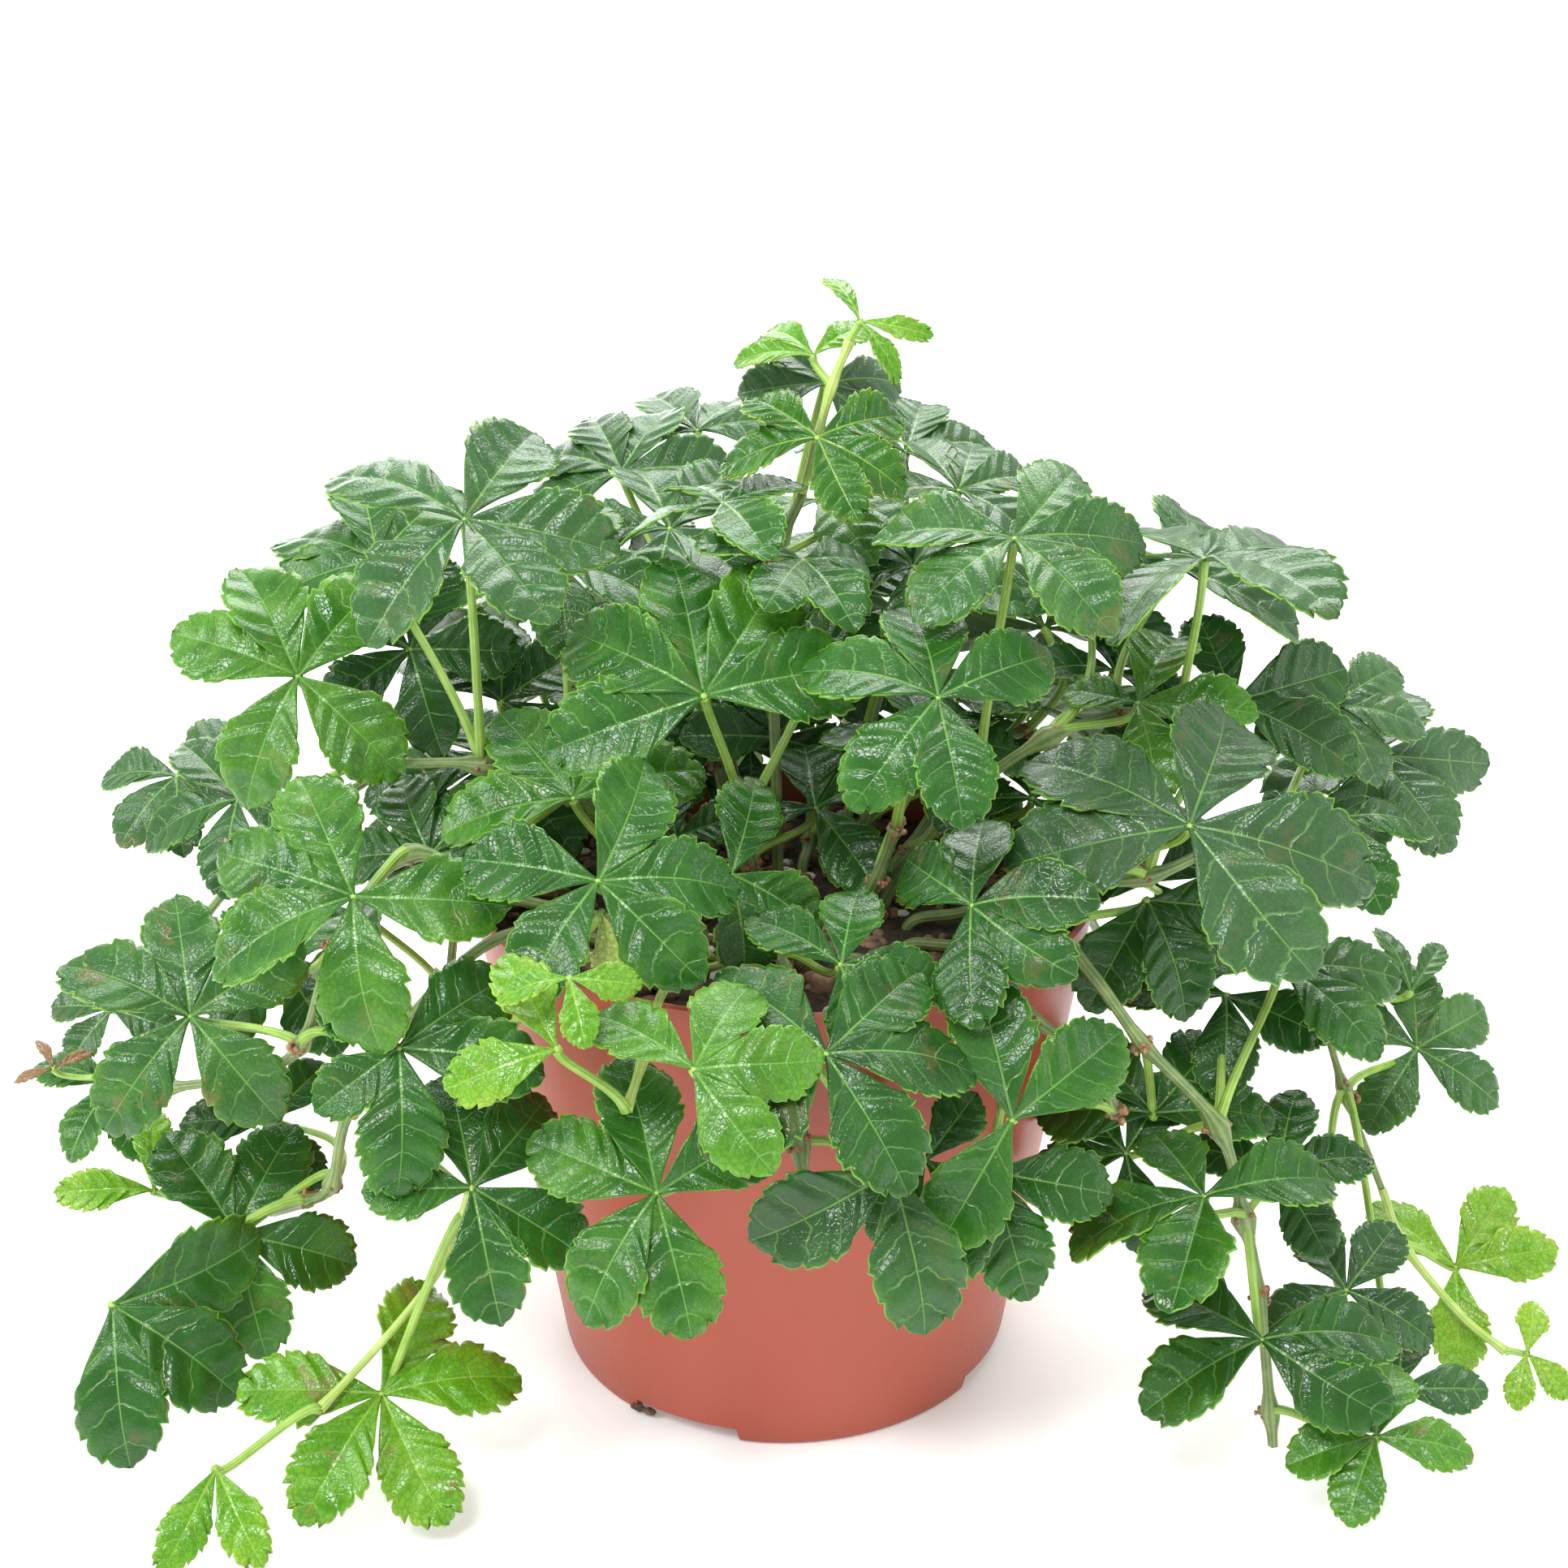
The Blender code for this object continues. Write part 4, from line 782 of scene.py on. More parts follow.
def leafMaterial(name, colours, underside=False):
    s = leafShading
    made, tree, shader = newMaterial(name)
    look = tree.nodes.new("ShaderNodeAttribute")
    look.attribute_name = "leafLook"
    parts = tree.nodes.new("ShaderNodeSeparateColor")
    tree.links.new(look.outputs["Color"], parts.inputs[0])
    tone, sheenAndPaleness, dry = parts.outputs[0], parts.outputs[1], parts.outputs[2]
    _, across, rows = mapOf(tree, "veins")
    flat, side, _ = mapOf(tree, "flat")
    space = objectSpace(tree)

    fromMid = maths(tree, "ABSOLUTE", maths(tree, "SUBTRACT", maths(tree, "MULTIPLY", across, 2.0), 1.0))
    mottle = noiseAt(tree, space, *s["mottle"])
    shade = maths(tree, "ADD", tone, ramp(tree, mottle, *middling, *s["mottleLift"]))
    shade = maths(tree, "ADD", shade, ramp(tree, fromMid, *s["sideLift"]), clamp=True)
    # the tone picks between the dark, mid and light greens: the leaf's own green with painted shade and
    # painted light
    body = blendColours(tree, ramp(tree, shade, 0.0, 0.5), colours["dark"], colours["mid"])
    body = blendColours(tree, ramp(tree, shade, 0.5, 1.0), body, colours["light"])
    # painted sheen laid over grown leaves by the second channel of their look; on young leaves the same mix
    # gives their own pale yellow
    body = blendColours(tree, maths(tree, "MULTIPLY", sheenAndPaleness, s["sheenAndPaleShare"]), body, colours["sheenAndPale"])

    # the fine net between the veins
    ruffled = tree.nodes.new("ShaderNodeMixRGB")
    ruffled.blend_type = "LINEAR_LIGHT"
    ruffled.inputs[0].default_value = s["ruffle"]
    coloured = tree.nodes.new("ShaderNodeTexNoise")
    coloured.inputs["Scale"].default_value = s["ruffleScale"]
    tree.links.new(flat, coloured.inputs["Vector"])
    tree.links.new(flat, ruffled.inputs[1])
    tree.links.new(coloured.outputs["Color"], ruffled.inputs[2])
    cells = cellsAt(tree, ruffled.outputs[0], s["netScale"], "DISTANCE_TO_EDGE")
    net = ramp(tree, cells, *s["netEdge"])
    netShare = maths(tree, "MULTIPLY", net, s["netBelow"] if underside else s["netShare"])
    body = blendColours(tree, netShare, body, leafColours["net"])

    # the midrib narrows towards the tip, and the side veins wander a little
    offRib = maths(tree, "ADD", maths(tree, "ABSOLUTE", side), ramp(tree, rows, *s["ribTaper"]))
    rib = ramp(tree, offRib, *s["ribEdge"])
    wander = ramp(tree, noiseAt(tree, flat, s["wanderScale"], 1.0), *middling, *s["wander"])
    nearest = maths(tree, "PINGPONG", maths(tree, "ADD", rows, wander), 0.5)
    lateral = ramp(tree, nearest, *s["veinEdge"])
    lateral = maths(tree, "MULTIPLY", lateral, ramp(tree, fromMid, *s["veinEnd"]))
    veins = maths(tree, "MAXIMUM", maths(tree, "MULTIPLY", rib, s["ribShare"]),
                  maths(tree, "MULTIPLY", lateral, s["veinShare"]))
    body = blendColours(tree, veins, body, colours["vein"])
    body = blendColours(tree, ramp(tree, fromMid, *s["margin"]), body, colours["margin"])

    spots = ramp(tree, noiseAt(tree, space, *s["spots"]), *s["spotEdge"])
    dryShare = maths(tree, "MULTIPLY", spots, dry, clamp=True)
    dryShare = maths(tree, "MAXIMUM", dryShare, ramp(tree, dry, *s["allDry"]))
    body = blendColours(tree, dryShare, body, leafColours["dry"])
    if underside:
        body = blendColours(tree, leafColours["undersideShare"], body, leafColours["back"])
    tree.links.new(body, shader.inputs["Base Color"])

    dulled = s["dullBelow"] if underside else 0.0
    roughness = [value + dulled for value in leafColours["roughness"]]
    tree.links.new(ramp(tree, mottle, *middling, *roughness), shader.inputs["Roughness"])
    shader.inputs["Specular IOR Level"].default_value = leafColours["specular"]
    height = maths(tree, "SUBTRACT", maths(tree, "MULTIPLY", mottle, s["mottleHeight"]),
                   maths(tree, "MULTIPLY", net, s["netDepth"]))
    height = maths(tree, "SUBTRACT", height, maths(tree, "MULTIPLY", lateral, s["veinDepth"]))
    bumped(tree, shader, height, *s["bump"])
    return made


stalkShading = {
    "stripes": 25.0,
    "stripeShare": (0.15, 0.65),
    "mottle": (260.0, 3.0),
    "mottleShare": (-0.2, 0.25),
    "roughness": 0.45,
    "bump": (0.3, 0.0002),
    "colours": {
        "paleGreenPetiole": ((0.17, 0.34, 0.03), (0.40, 0.58, 0.13)),
        "greyGreenStem": ((0.08, 0.15, 0.035), (0.30, 0.39, 0.14)),
        "youngStem": ((0.28, 0.44, 0.06), (0.52, 0.63, 0.22)),
    },
}


def stalkMaterial(name):
    s = stalkShading
    made, tree, shader = newMaterial(name)
    _, around, _ = mapOf(tree, "flat")
    stripes = maths(tree, "SINE", maths(tree, "MULTIPLY", around, s["stripes"]))
    mottle = noiseAt(tree, objectSpace(tree), *s["mottle"])
    share = maths(tree, "ADD", ramp(tree, stripes, -1.0, 1.0, *s["stripeShare"]),
                  ramp(tree, mottle, *middling, *s["mottleShare"]))
    tree.links.new(blendColours(tree, share, *s["colours"][name]), shader.inputs["Base Color"])
    shader.inputs["Roughness"].default_value = s["roughness"]
    bumped(tree, shader, maths(tree, "ADD", stripes, mottle), *s["bump"])
    return made


# grainy matt surfaces, for the warts and for what the soil is made of
crumbs = {"edge": (0.35, 0.68), "roughness": 0.95, "bump": (0.8, 0.0012)}
grainShading = {
    "rustyWarts": {"dark": (0.15, 0.06, 0.028), "light": (0.44, 0.25, 0.125), "grain": (900.0, 3.0, 0.6),
                   "edge": (0.35, 0.65), "roughness": 0.85, "bump": (0.6, 0.0004)},
    "pottingMix": {"dark": (0.012, 0.008, 0.006), "light": (0.075, 0.045, 0.028),
                   "grain": (420.0, 5.0, 0.65), **crumbs},
    "barkBits": {"dark": (0.035, 0.020, 0.012), "light": (0.33, 0.20, 0.12),
                 "grain": (300.0, 5.0, 0.65), **crumbs},
    "perlite": {"dark": (0.55, 0.52, 0.46), "light": (0.85, 0.83, 0.78),
                "grain": (500.0, 5.0, 0.65), **crumbs},
}


def grainMaterial(name):
    s = grainShading[name]
    made, tree, shader = newMaterial(name)
    height = noiseAt(tree, objectSpace(tree), *s["grain"])
    colour = blendColours(tree, ramp(tree, height, *s["edge"]), s["dark"], s["light"])
    tree.links.new(colour, shader.inputs["Base Color"])
    shader.inputs["Roughness"].default_value = s["roughness"]
    bumped(tree, shader, height, *s["bump"])
    return made


potShading = {
    "dark": (0.33, 0.054, 0.026),
    "light": (0.39, 0.075, 0.039),
    "cloud": (14.0, 2.0),
    "speck": (0.12, 0.03, 0.02),
    "speckScale": 75.0,
    "speckEdge": (0.02, 0.05, 1.0, 0.0),
    "sparse": (60.0, 1.0),
    "sparseEdge": (0.58, 0.64),
    "speckShare": 0.6,
    "fine": (1400.0, 2.0),
    "roughness": (0.36, 0.48),
    "bump": (0.08, 0.0002),
}


def potMaterial():
    s = potShading
    made, tree, shader = newMaterial("terracottaPlastic")
    space = objectSpace(tree)
    cloud = noiseAt(tree, space, *s["cloud"])
    body = blendColours(tree, ramp(tree, cloud, *middling), s["dark"], s["light"])
    specks = ramp(tree, cellsAt(tree, space, s["speckScale"]), *s["speckEdge"])
    sparse = ramp(tree, noiseAt(tree, space, *s["sparse"]), *s["sparseEdge"])
    share = maths(tree, "MULTIPLY", maths(tree, "MULTIPLY", specks, sparse), s["speckShare"])
    tree.links.new(blendColours(tree, share, body, s["speck"]), shader.inputs["Base Color"])
    fine = noiseAt(tree, space, *s["fine"])
    tree.links.new(ramp(tree, fine, *middling, *s["roughness"]), shader.inputs["Roughness"])
    bumped(tree, shader, fine, *s["bump"])
    return made


# meshes are gathered as grids of points in a heap, one heap for each piece
def newHeap():
    return {"points": [], "faces": [], "slots": [], "veins": [], "flat": [], "look": [], "count": 0}


def addGrid(heap, grid, veins, flat, look, slot=0, closed=False):
    rows, columns = grid.shape[:2]
    base = heap["count"]
    heap["points"].append(grid.reshape(-1, 3))
    heap["veins"].append(veins.reshape(-1, 2))
    heap["flat"].append(flat.reshape(-1, 2))
    heap["look"].append(np.tile(np.array((*look, 1.0)), (rows * columns, 1)))
    heap["count"] += rows * columns
    last = columns if closed else columns - 1
    for r in range(rows - 1):
        for c in range(last):
            a = base + r * columns + c
            b = base + r * columns + (c + 1) % columns
            heap["faces"].append((a, a + columns, b + columns, b))
            heap["slots"].append(slot)
    if closed:
        heap["faces"].append(tuple(base + c for c in range(columns)))
        heap["faces"].append(tuple(base + (rows - 1) * columns + c for c in reversed(range(columns))))
        heap["slots"] += [slot, slot]


def addObject(name, data):
    made = bpy.data.objects.new(name, data)
    bpy.context.scene.collection.objects.link(made)
    return made


def pieceFrom(heap, name, materials, nodes):
    mesh = bpy.data.meshes.new(name)
    points = np.concatenate(heap["points"]) * mm
    mesh.from_pydata(points.tolist(), [], heap["faces"])
    corners = np.empty(len(mesh.loops), dtype=np.int32)
    mesh.loops.foreach_get("vertex_index", corners)
    for layer in ("veins", "flat"):
        values = np.concatenate(heap[layer])[corners]
        mesh.uv_layers.new(name=layer).data.foreach_set("uv", values.astype(np.float32).ravel())
    look = mesh.attributes.new("leafLook", "FLOAT_COLOR", "POINT")
    look.data.foreach_set("color", np.concatenate(heap["look"]).astype(np.float32).ravel())
    for material in materials:
        mesh.materials.append(material)
    mesh.polygons.foreach_set("material_index", heap["slots"])
    mesh.shade_smooth()
    piece = addObject(name, mesh)
    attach(piece, "root")
    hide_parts(*nodes)
    return piece


def smoothLine(points, perSpan):
    points = [np.array(p, dtype=float) for p in points]
    points = [2 * points[0] - points[1]] + points + [2 * points[-1] - points[-2]]
    line = []
    for i in range(1, len(points) - 2):
        a, b, c, d = points[i - 1:i + 3]
        for k in range(perSpan):
            t = k / perSpan
            line.append(0.5 * (2 * b + (c - a) * t + (2 * a - 5 * b + 4 * c - d) * t * t
                               + (3 * b - a - 3 * c + d) * t ** 3))
    line.append(points[-2])
    return np.array(line)


# one leaflet: its outline from base to tip, with lobes that end in small teeth
leaflet = {
    "outline": ((0, 0.05), (0.07, 0.15), (0.2, 0.39), (0.34, 0.66), (0.48, 0.87), (0.62, 0.97), (0.75, 0.93),
                (0.86, 0.74), (0.94, 0.46), (1.0, 0.02)),
    "halfWidth": 0.292,
    "overlap": 1.08,
    "plainRows": 6,
    "plainShare": 0.40,
    "lobes": (4, 5),
    "lobeRows": (-0.05, 0.75, 1.15, 1.20, 0.90, 1.45),
    "lobeDepth": 0.028,
    "toothAhead": 0.015,
    "uneven": 0.4,
    "youngTeeth": 1.5,
    "youngWidth": 0.88,
    "shrivelled": {"stem_left_mid 5": 0.5},
    "columns": (-1, -0.84, -0.6, -0.32, -0.1, 0, 0.1, 0.32, 0.6, 0.84, 1),
    "sweep": 0.8,
    "rise": (0.02, 0.08),
    "droop": (0.8, 1.9),
    "cup": (-0.5, 2.0),
    "wave": (0.008, 0.03),
    "phase": (0, math.tau),
    "quilt": (0.010, 0.030),
    "groove": 0.012,
    "roll": math.radians(6),
    "pitch": (-0.13, 0.08),
    "thickness": 0.4,
    "skinClear": 0.1,
    "fineSteps": 12,
    "aheadStep": 0.004,
    "droopPower": 2.2,
    "cupPower": 1.5,
    "waves": 13,
    "waveShift": 1.2,
    "quiltFrom": 2.0,
    "quiltEnd": 1.02,
    "quiltFade": 5,
    "quiltPower": 0.7,
    "grooveHalf": 0.01,
    "leastHeight": 0.6,
    "rowBend": 1.3,
    "leastHalf": 0.004,
    "curve": (-0.09, 0.09),
    "turn": (-0.12, 0.12),
    "twist": (-0.35, 0.35),
    # how much of its bends and of its size a leaflet keeps: the first pair that meets nothing
    "calming": ((1.0, 1), (0.6, 1), (0.3, 1), (0.0, 1), (0.0, 0.9), (0.0, 0.8), (0.0, 0.7)),
}


def leafletRows(lobes):
    # one side of the outline, how far each of its rows is pushed out into lobes and teeth, and its side veins
    s = leaflet
    dense = smoothLine([(x, y * s["halfWidth"]) for x, y in s["outline"]], s["fineSteps"])
    length = np.concatenate(([0], np.cumsum(np.linalg.norm(np.diff(dense, axis=0), axis=1))))
    length /= length[-1]
    perLobe = len(s["lobeRows"])
    plain = s["plainShare"] * np.arange(s["plainRows"]) / s["plainRows"]
    lobed = s["plainShare"] + (1 - s["plainShare"]) * np.arange(lobes * perLobe + 1) / (lobes * perLobe)
    at = np.concatenate((plain, lobed))

    def pointsAt(where):
        where = np.clip(where, 0, 1)
        return np.stack([np.interp(where, length, dense[:, k]) for k in range(2)], axis=1)

    ahead = pointsAt(at + s["aheadStep"]) - pointsAt(at - s["aheadStep"])
    ahead /= np.linalg.norm(ahead, axis=1)[:, None]
    outward = np.stack((-ahead[:, 1], ahead[:, 0]), axis=1)
    order = np.arange(len(at)) - s["plainRows"]
    depth = np.array([s["lobeRows"][(k - 1) % perLobe] if k > 0 else 0.0 for k in order]) * s["lobeDepth"]
    tooth = np.array([s["toothAhead"] if k > 0 and k % perLobe == 0 else 0.0 for k in order])
    edge = pointsAt(at)
    return {"edge": edge, "push": outward * depth[:, None] + ahead * tooth[:, None],
            "middle": edge[:, 0] * (1 - s["sweep"] * (1 - edge[:, 0])),
            "lobe": np.clip((order - 1) // perLobe + 1, 0, lobes),
            "veinCount": order / perLobe, "lobes": lobes}


def bentGrid(posed, angle, x, y, rows, bend, calm, size):
    # the flat leaflet given its droop, waves, quilting and twist: calm is 1 for all of its bends, 0 for none
    s = leaflet
    u = np.array(s["columns"])
    away = np.abs(u)
    reach = posed["reach"] * size
    droop = bladeSizes["droop"] * (1 + (bend["droop"] - 1) * calm)
    cup = bladeSizes["cup"] * (1 + (bend["cup"] - 1) * calm)
    z = (bend["rise"] * calm * 4 * x * (1 - x) - droop * x ** s["droopPower"]
         + cup * (np.abs(y) / s["halfWidth"]) ** s["cupPower"])
    wave = np.sin(x * s["waves"] + bend["phase"] + np.sign(u)[None, :] * s["waveShift"])
    z += bend["wave"] * calm * wave * away[None, :] ** 2 * x
    veinCount = rows["veinCount"]
    between = 0.5 - 0.5 * np.cos(2 * math.pi * veinCount)
    fade = np.clip(veinCount + s["quiltFrom"], 0, 1)
    fade = fade * np.clip((s["quiltEnd"] - rows["middle"]) * s["quiltFade"], 0, 1)
    z += bend["quilt"] * (between * fade)[:, None] * np.sin(math.pi * away)[None, :] ** s["quiltPower"]
    z -= s["groove"] * (away < s["grooveHalf"])[None, :] * (1 - x)
    y = y + bend["curve"] * calm * x ** 2
    twist = calm * (s["roll"] + bend["turn"] + bend["twist"] * x)
    pitch = calm * bend["pitch"]
    y, z = y * np.cos(twist) - z * np.sin(twist), y * np.sin(twist) + z * np.cos(twist)
    x, z = x * math.cos(pitch) - z * math.sin(pitch), x * math.sin(pitch) + z * math.cos(pitch)
    way = np.array(posed["across"] * math.cos(angle) + posed["along"] * math.sin(angle))
    beside = np.array(posed["along"] * math.cos(angle) - posed["across"] * math.sin(angle))
    grid = (np.array(posed["hub"]) + reach * (x[..., None] * way + y[..., None] * beside
                                              + z[..., None] * np.array(posed["normal"])))
    grid[..., 2] = np.maximum(grid[..., 2], s["leastHeight"])
    return grid


def skinShape(grid, posed, owner):
    rows, columns = grid.shape[:2]
    half = leaflet["thickness"] / 2
    points = [Vector(p) - posed["normal"] * half for p in grid.reshape(-1, 3)]
    faces = [(r * columns + c, (r + 1) * columns + c, (r + 1) * columns + c + 1, r * columns + c + 1)
             for r in range(rows - 1) for c in range(columns - 1)]
    return shapeOf(*slabOf(points, faces, posed["normal"], half + leaflet["skinClear"]), owner)


def addLeaflet(heap, posed, angle, rooms, draw, look, rowSets, teeth, owner, standing):
    s = leaflet
    rows = draw.choice(rowSets)
    middle = rows["middle"]
    reach = posed["reach"]
    u = np.array(s["columns"])
    away = np.abs(u)
    x = np.zeros((len(middle), len(u)))
    y = np.zeros_like(x)
    for side in (-1, 1):
        uneven = np.array([1 + draw.uniform(-1, 1) * s["uneven"] for _ in range(rows["lobes"] + 1)])
        edge = rows["edge"] + rows["push"] * (uneven[rows["lobe"]] * teeth)[:, None]
        edge[-1, 0] = max(edge[-1, 0], 1.0)
        half = rooms[0 if side < 0 else 1] / s["halfWidth"]
        here = (u * side > 0) | (u == 0)
        x[:, here] = middle[:, None] + (edge[:, 0] - middle)[:, None] * away[here][None, :] ** s["rowBend"]
        y[:, here] = np.maximum(edge[:, 1], s["leastHalf"])[:, None] * (u[here] * half)[None, :]
    x[-1] = 1.0 + s["lobeDepth"] * teeth
    bend = {kind: draw.uniform(*s[kind])
            for kind in ("rise", "droop", "cup", "wave", "phase", "quilt", "curve", "turn", "twist", "pitch")}
    others = [shape for shape in standing if shape["owner"] != owner]
    for calm, size in s["calming"]:
        grid = bentGrid(posed, angle, x, y, rows, bend, calm, size)
        skin = skinShape(grid, posed, owner)
        if not meets(skin, others):
            break
    standing.append(skin)
    veins = np.stack(np.broadcast_arrays((u / 2 + 0.5)[None, :], rows["veinCount"][:, None]), axis=-1)
    flat = np.stack((y * reach / 10, x * reach / 10), axis=-1)
    addGrid(heap, grid, veins, flat, look)


leafLooks = {
    "toneSpread": 0.08,
    # leaves of the back stems and the filled-in leaves take a dark tone, which is painted shade
    "backTone": (0.15, 0.4),
    # painted sheen: leaves farther back get more of the greyish haze, and the listed leaves below get a set
    # amount; young shoots take their own pale yellow instead
    "dryness": (0.0, 0.22),
    "farSheen": (0.25, 0.6),
    "sheenFrom": 5.0,
    "sheenOver": 60.0,
    "sheenAndPaleLevel": {"stem_right 0": 0.55, "stem_right_upper 1": 0.5, "stem_right_upper 0": 0.35,
             "stem_left_upper 0": 0.45, "stem_right_thin 0": 0.4, "stem_right_thin 1": 0.5,
             "stem_right_thin 2": 0.3, "stem_right_thin 3": 0.35,
             "stem_left_far 4": 0.4, "stem_left_mid 5": 0.4, "stem_left_mid 2": 0.25, "stem_front 3": 0.25,
             "stem_right 4": 0.8, "stem_right 3": 0.7, "stem_left_far 0": 0.5, "stem_top 0": 0.8},
    "pale": {"shoot_left low": 1.0},
    "dry": {"stem_left_mid 5": 1.0, "shoot_left 0": 0.5, "stem_right_runner 6": 0.45, "stem_left_mid 2": 0.4},
}


def lookOf(name, one, draw):
    s = leafLooks
    tone = draw.uniform(*s["backTone"]) if one["tone"] is None else one["tone"]
    key = f"{name} {one['place']}"
    # painted sheen, more on leaves farther back
    far = min(max((one["posed"]["hub"].y - s["sheenFrom"]) / s["sheenOver"], 0), 1)
    sheenAndPaleLevel = max(s["sheenAndPaleLevel"].get(key, 0.0), far * draw.uniform(*s["farSheen"]))
    if name.startswith("shoot"):
        sheenAndPaleLevel = s["pale"].get(key, 0.0)
    return tone, sheenAndPaleLevel, s["dry"].get(key, draw.uniform(*s["dryness"]))


def roomsOf(posed, i):
    gaps = gapsOf(posed["angles"])
    return [min(leaflet["halfWidth"] * posed["width"],
                bladeSizes["wideAt"] * math.tan(min(gap / 2, bladeSizes["wideGap"])) * leaflet["overlap"])
            for gap in (gaps[i - 1], gaps[i])]


def standingStalks(grown):
    standing = [potShape()]
    for name, one in grown.items():
        standing.append(shapeOf(*sleeveOf(one["route"], stalks["stemRadius"]), name))
        for k, leafHere in enumerate(one["leaves"]):
            path = petioleRoute(leafHere["joint"], leafHere["posed"], leafHere["bow"], stalks["petioleSteps"])
            standing.append(shapeOf(*sleeveOf(path, stalks["petioleRadius"]), f"{name} {k}"))
    return standing


def growLeaves(name, one, rowSets, materials, standing):
    draw = random.Random("leaves " + name)
    heap = newHeap()
    young = name.startswith("shoot")
    teeth = leaflet["youngTeeth"] if young else 1.0
    width = leaflet["youngWidth"] if young else 1.0
    for k, leafHere in enumerate(one["leaves"]):
        look = lookOf(name, leafHere, draw)
        posed = leafHere["posed"]
        narrowed = width * leaflet["shrivelled"].get(f"{name} {leafHere['place']}", 1.0)
        for i, angle in enumerate(posed["angles"]):
            spreadHere = draw.uniform(-1, 1) * leafLooks["toneSpread"]
            own = (min(max(look[0] + spreadHere, 0), 1), look[1], look[2])
            rooms = [room * narrowed for room in roomsOf(posed, i)]
            addLeaflet(heap, posed, angle, rooms, draw, own, rowSets, teeth, f"{name} {k}", standing)
    piece = pieceFrom(heap, "leaves_of_" + name, materials, [name])
    skin = piece.modifiers.new("thickness", "SOLIDIFY")
    skin.thickness = leaflet["thickness"] * mm
    skin.offset = -1
    skin.material_offset = 1
    skin.material_offset_rim = 0


stalks = {
    "sides": 10,
    "petioleSteps": 18,
    "stemSteps": 9,
    "stemRadius": 1.3,
    "petioleRadius": 0.95,
    "baseRadius": 1.35,
    "topRadius": 1.15,
    "groove": 0.06,
    "swelling": 0.55,
    "swellingLength": 3.2,
    "warts": (18, 40),
    "wartRadius": (0.4, 0.95),
    "wartReach": (0.9, 1.9),
    "wartsOnStem": 0.45,
    "wartOutward": 0.5,
    "wartSpacing": 0.7,
    "wartFarthest": 3.6,
    "bareKnots": {"stem_right_runner": (6, 7), "stem_left_upper": (1, 2), "stem_left_mid": (2,),
                  "stem_front": (2,), "stem_top": (2,)},
    "hubRadius": 0.95,
    "ridges": 5,
    "thin": 0.75,
    "taper": (1.05, 0.85),
    "leastSize": 0.62,
    "addedSize": 0.38,
    "fullReach": 26,
    "baseFade": 9,
    "topFade": 12,
    "hubBelow": 0.3,
    "hubBall": 0.8,
    "sameJoint": 1,
}

ball = {
    "rings": 5,
    "spokes": 7,
    "stretch": (-0.25, 0.25),
    "firstRing": 0.06,
    "ringSpan": 0.88,
}


def addTube(heap, route, radii, look, slot):
    route = np.array(route)
    sides = stalks["sides"]
    along = np.gradient(route, axis=0)
    along /= np.linalg.norm(along, axis=1)[:, None]
    side = np.cross(along[0], stalkSizes["askew"])
    rings = []
    turn = np.arange(sides) * math.tau / sides
    for centre, way, radius in zip(route, along, radii):
        side = side - way * np.dot(side, way)
        side /= np.linalg.norm(side)
        other = np.cross(way, side)
        r = radius * (1 + stalks["groove"] * np.cos(stalks["ridges"] * turn))
        rings.append(centre + (r * np.cos(turn))[:, None] * side + (r * np.sin(turn))[:, None] * other)
    grid = np.array(rings)[:, ::-1]
    around = np.abs(2 * np.arange(sides) / sides - 1)
    length = np.concatenate(([0], np.cumsum(np.linalg.norm(np.diff(route, axis=0), axis=1)))) / 10
    flat = np.stack(np.broadcast_arrays(around[None, :], length[:, None]), axis=-1)
    addGrid(heap, grid, flat, flat, look, slot, closed=True)


def addBall(heap, centre, radius, squash, draw, look, slot):
    # a small lump of rings and spokes, closed at its poles
    ringCount, spokes = ball["rings"], ball["spokes"]
    rings = []
    stretch = [1 + draw.uniform(*ball["stretch"]) for _ in range(3)]
    turn = np.arange(spokes) * math.tau / spokes
    for k in range(ringCount):
        polar = math.pi * (ball["firstRing"] + ball["ringSpan"] * k / (ringCount - 1))
        ring = np.stack((np.sin(polar) * np.cos(turn) * stretch[0], np.sin(polar) * np.sin(turn) * stretch[1],
                         np.full(spokes, math.cos(polar) * squash * stretch[2])), axis=1)
        rings.append(np.array(centre) + radius * ring)
    grid = np.array(rings)
    flat = np.zeros((ringCount, spokes, 2))
    addGrid(heap, grid, flat, flat, look, slot, closed=True)


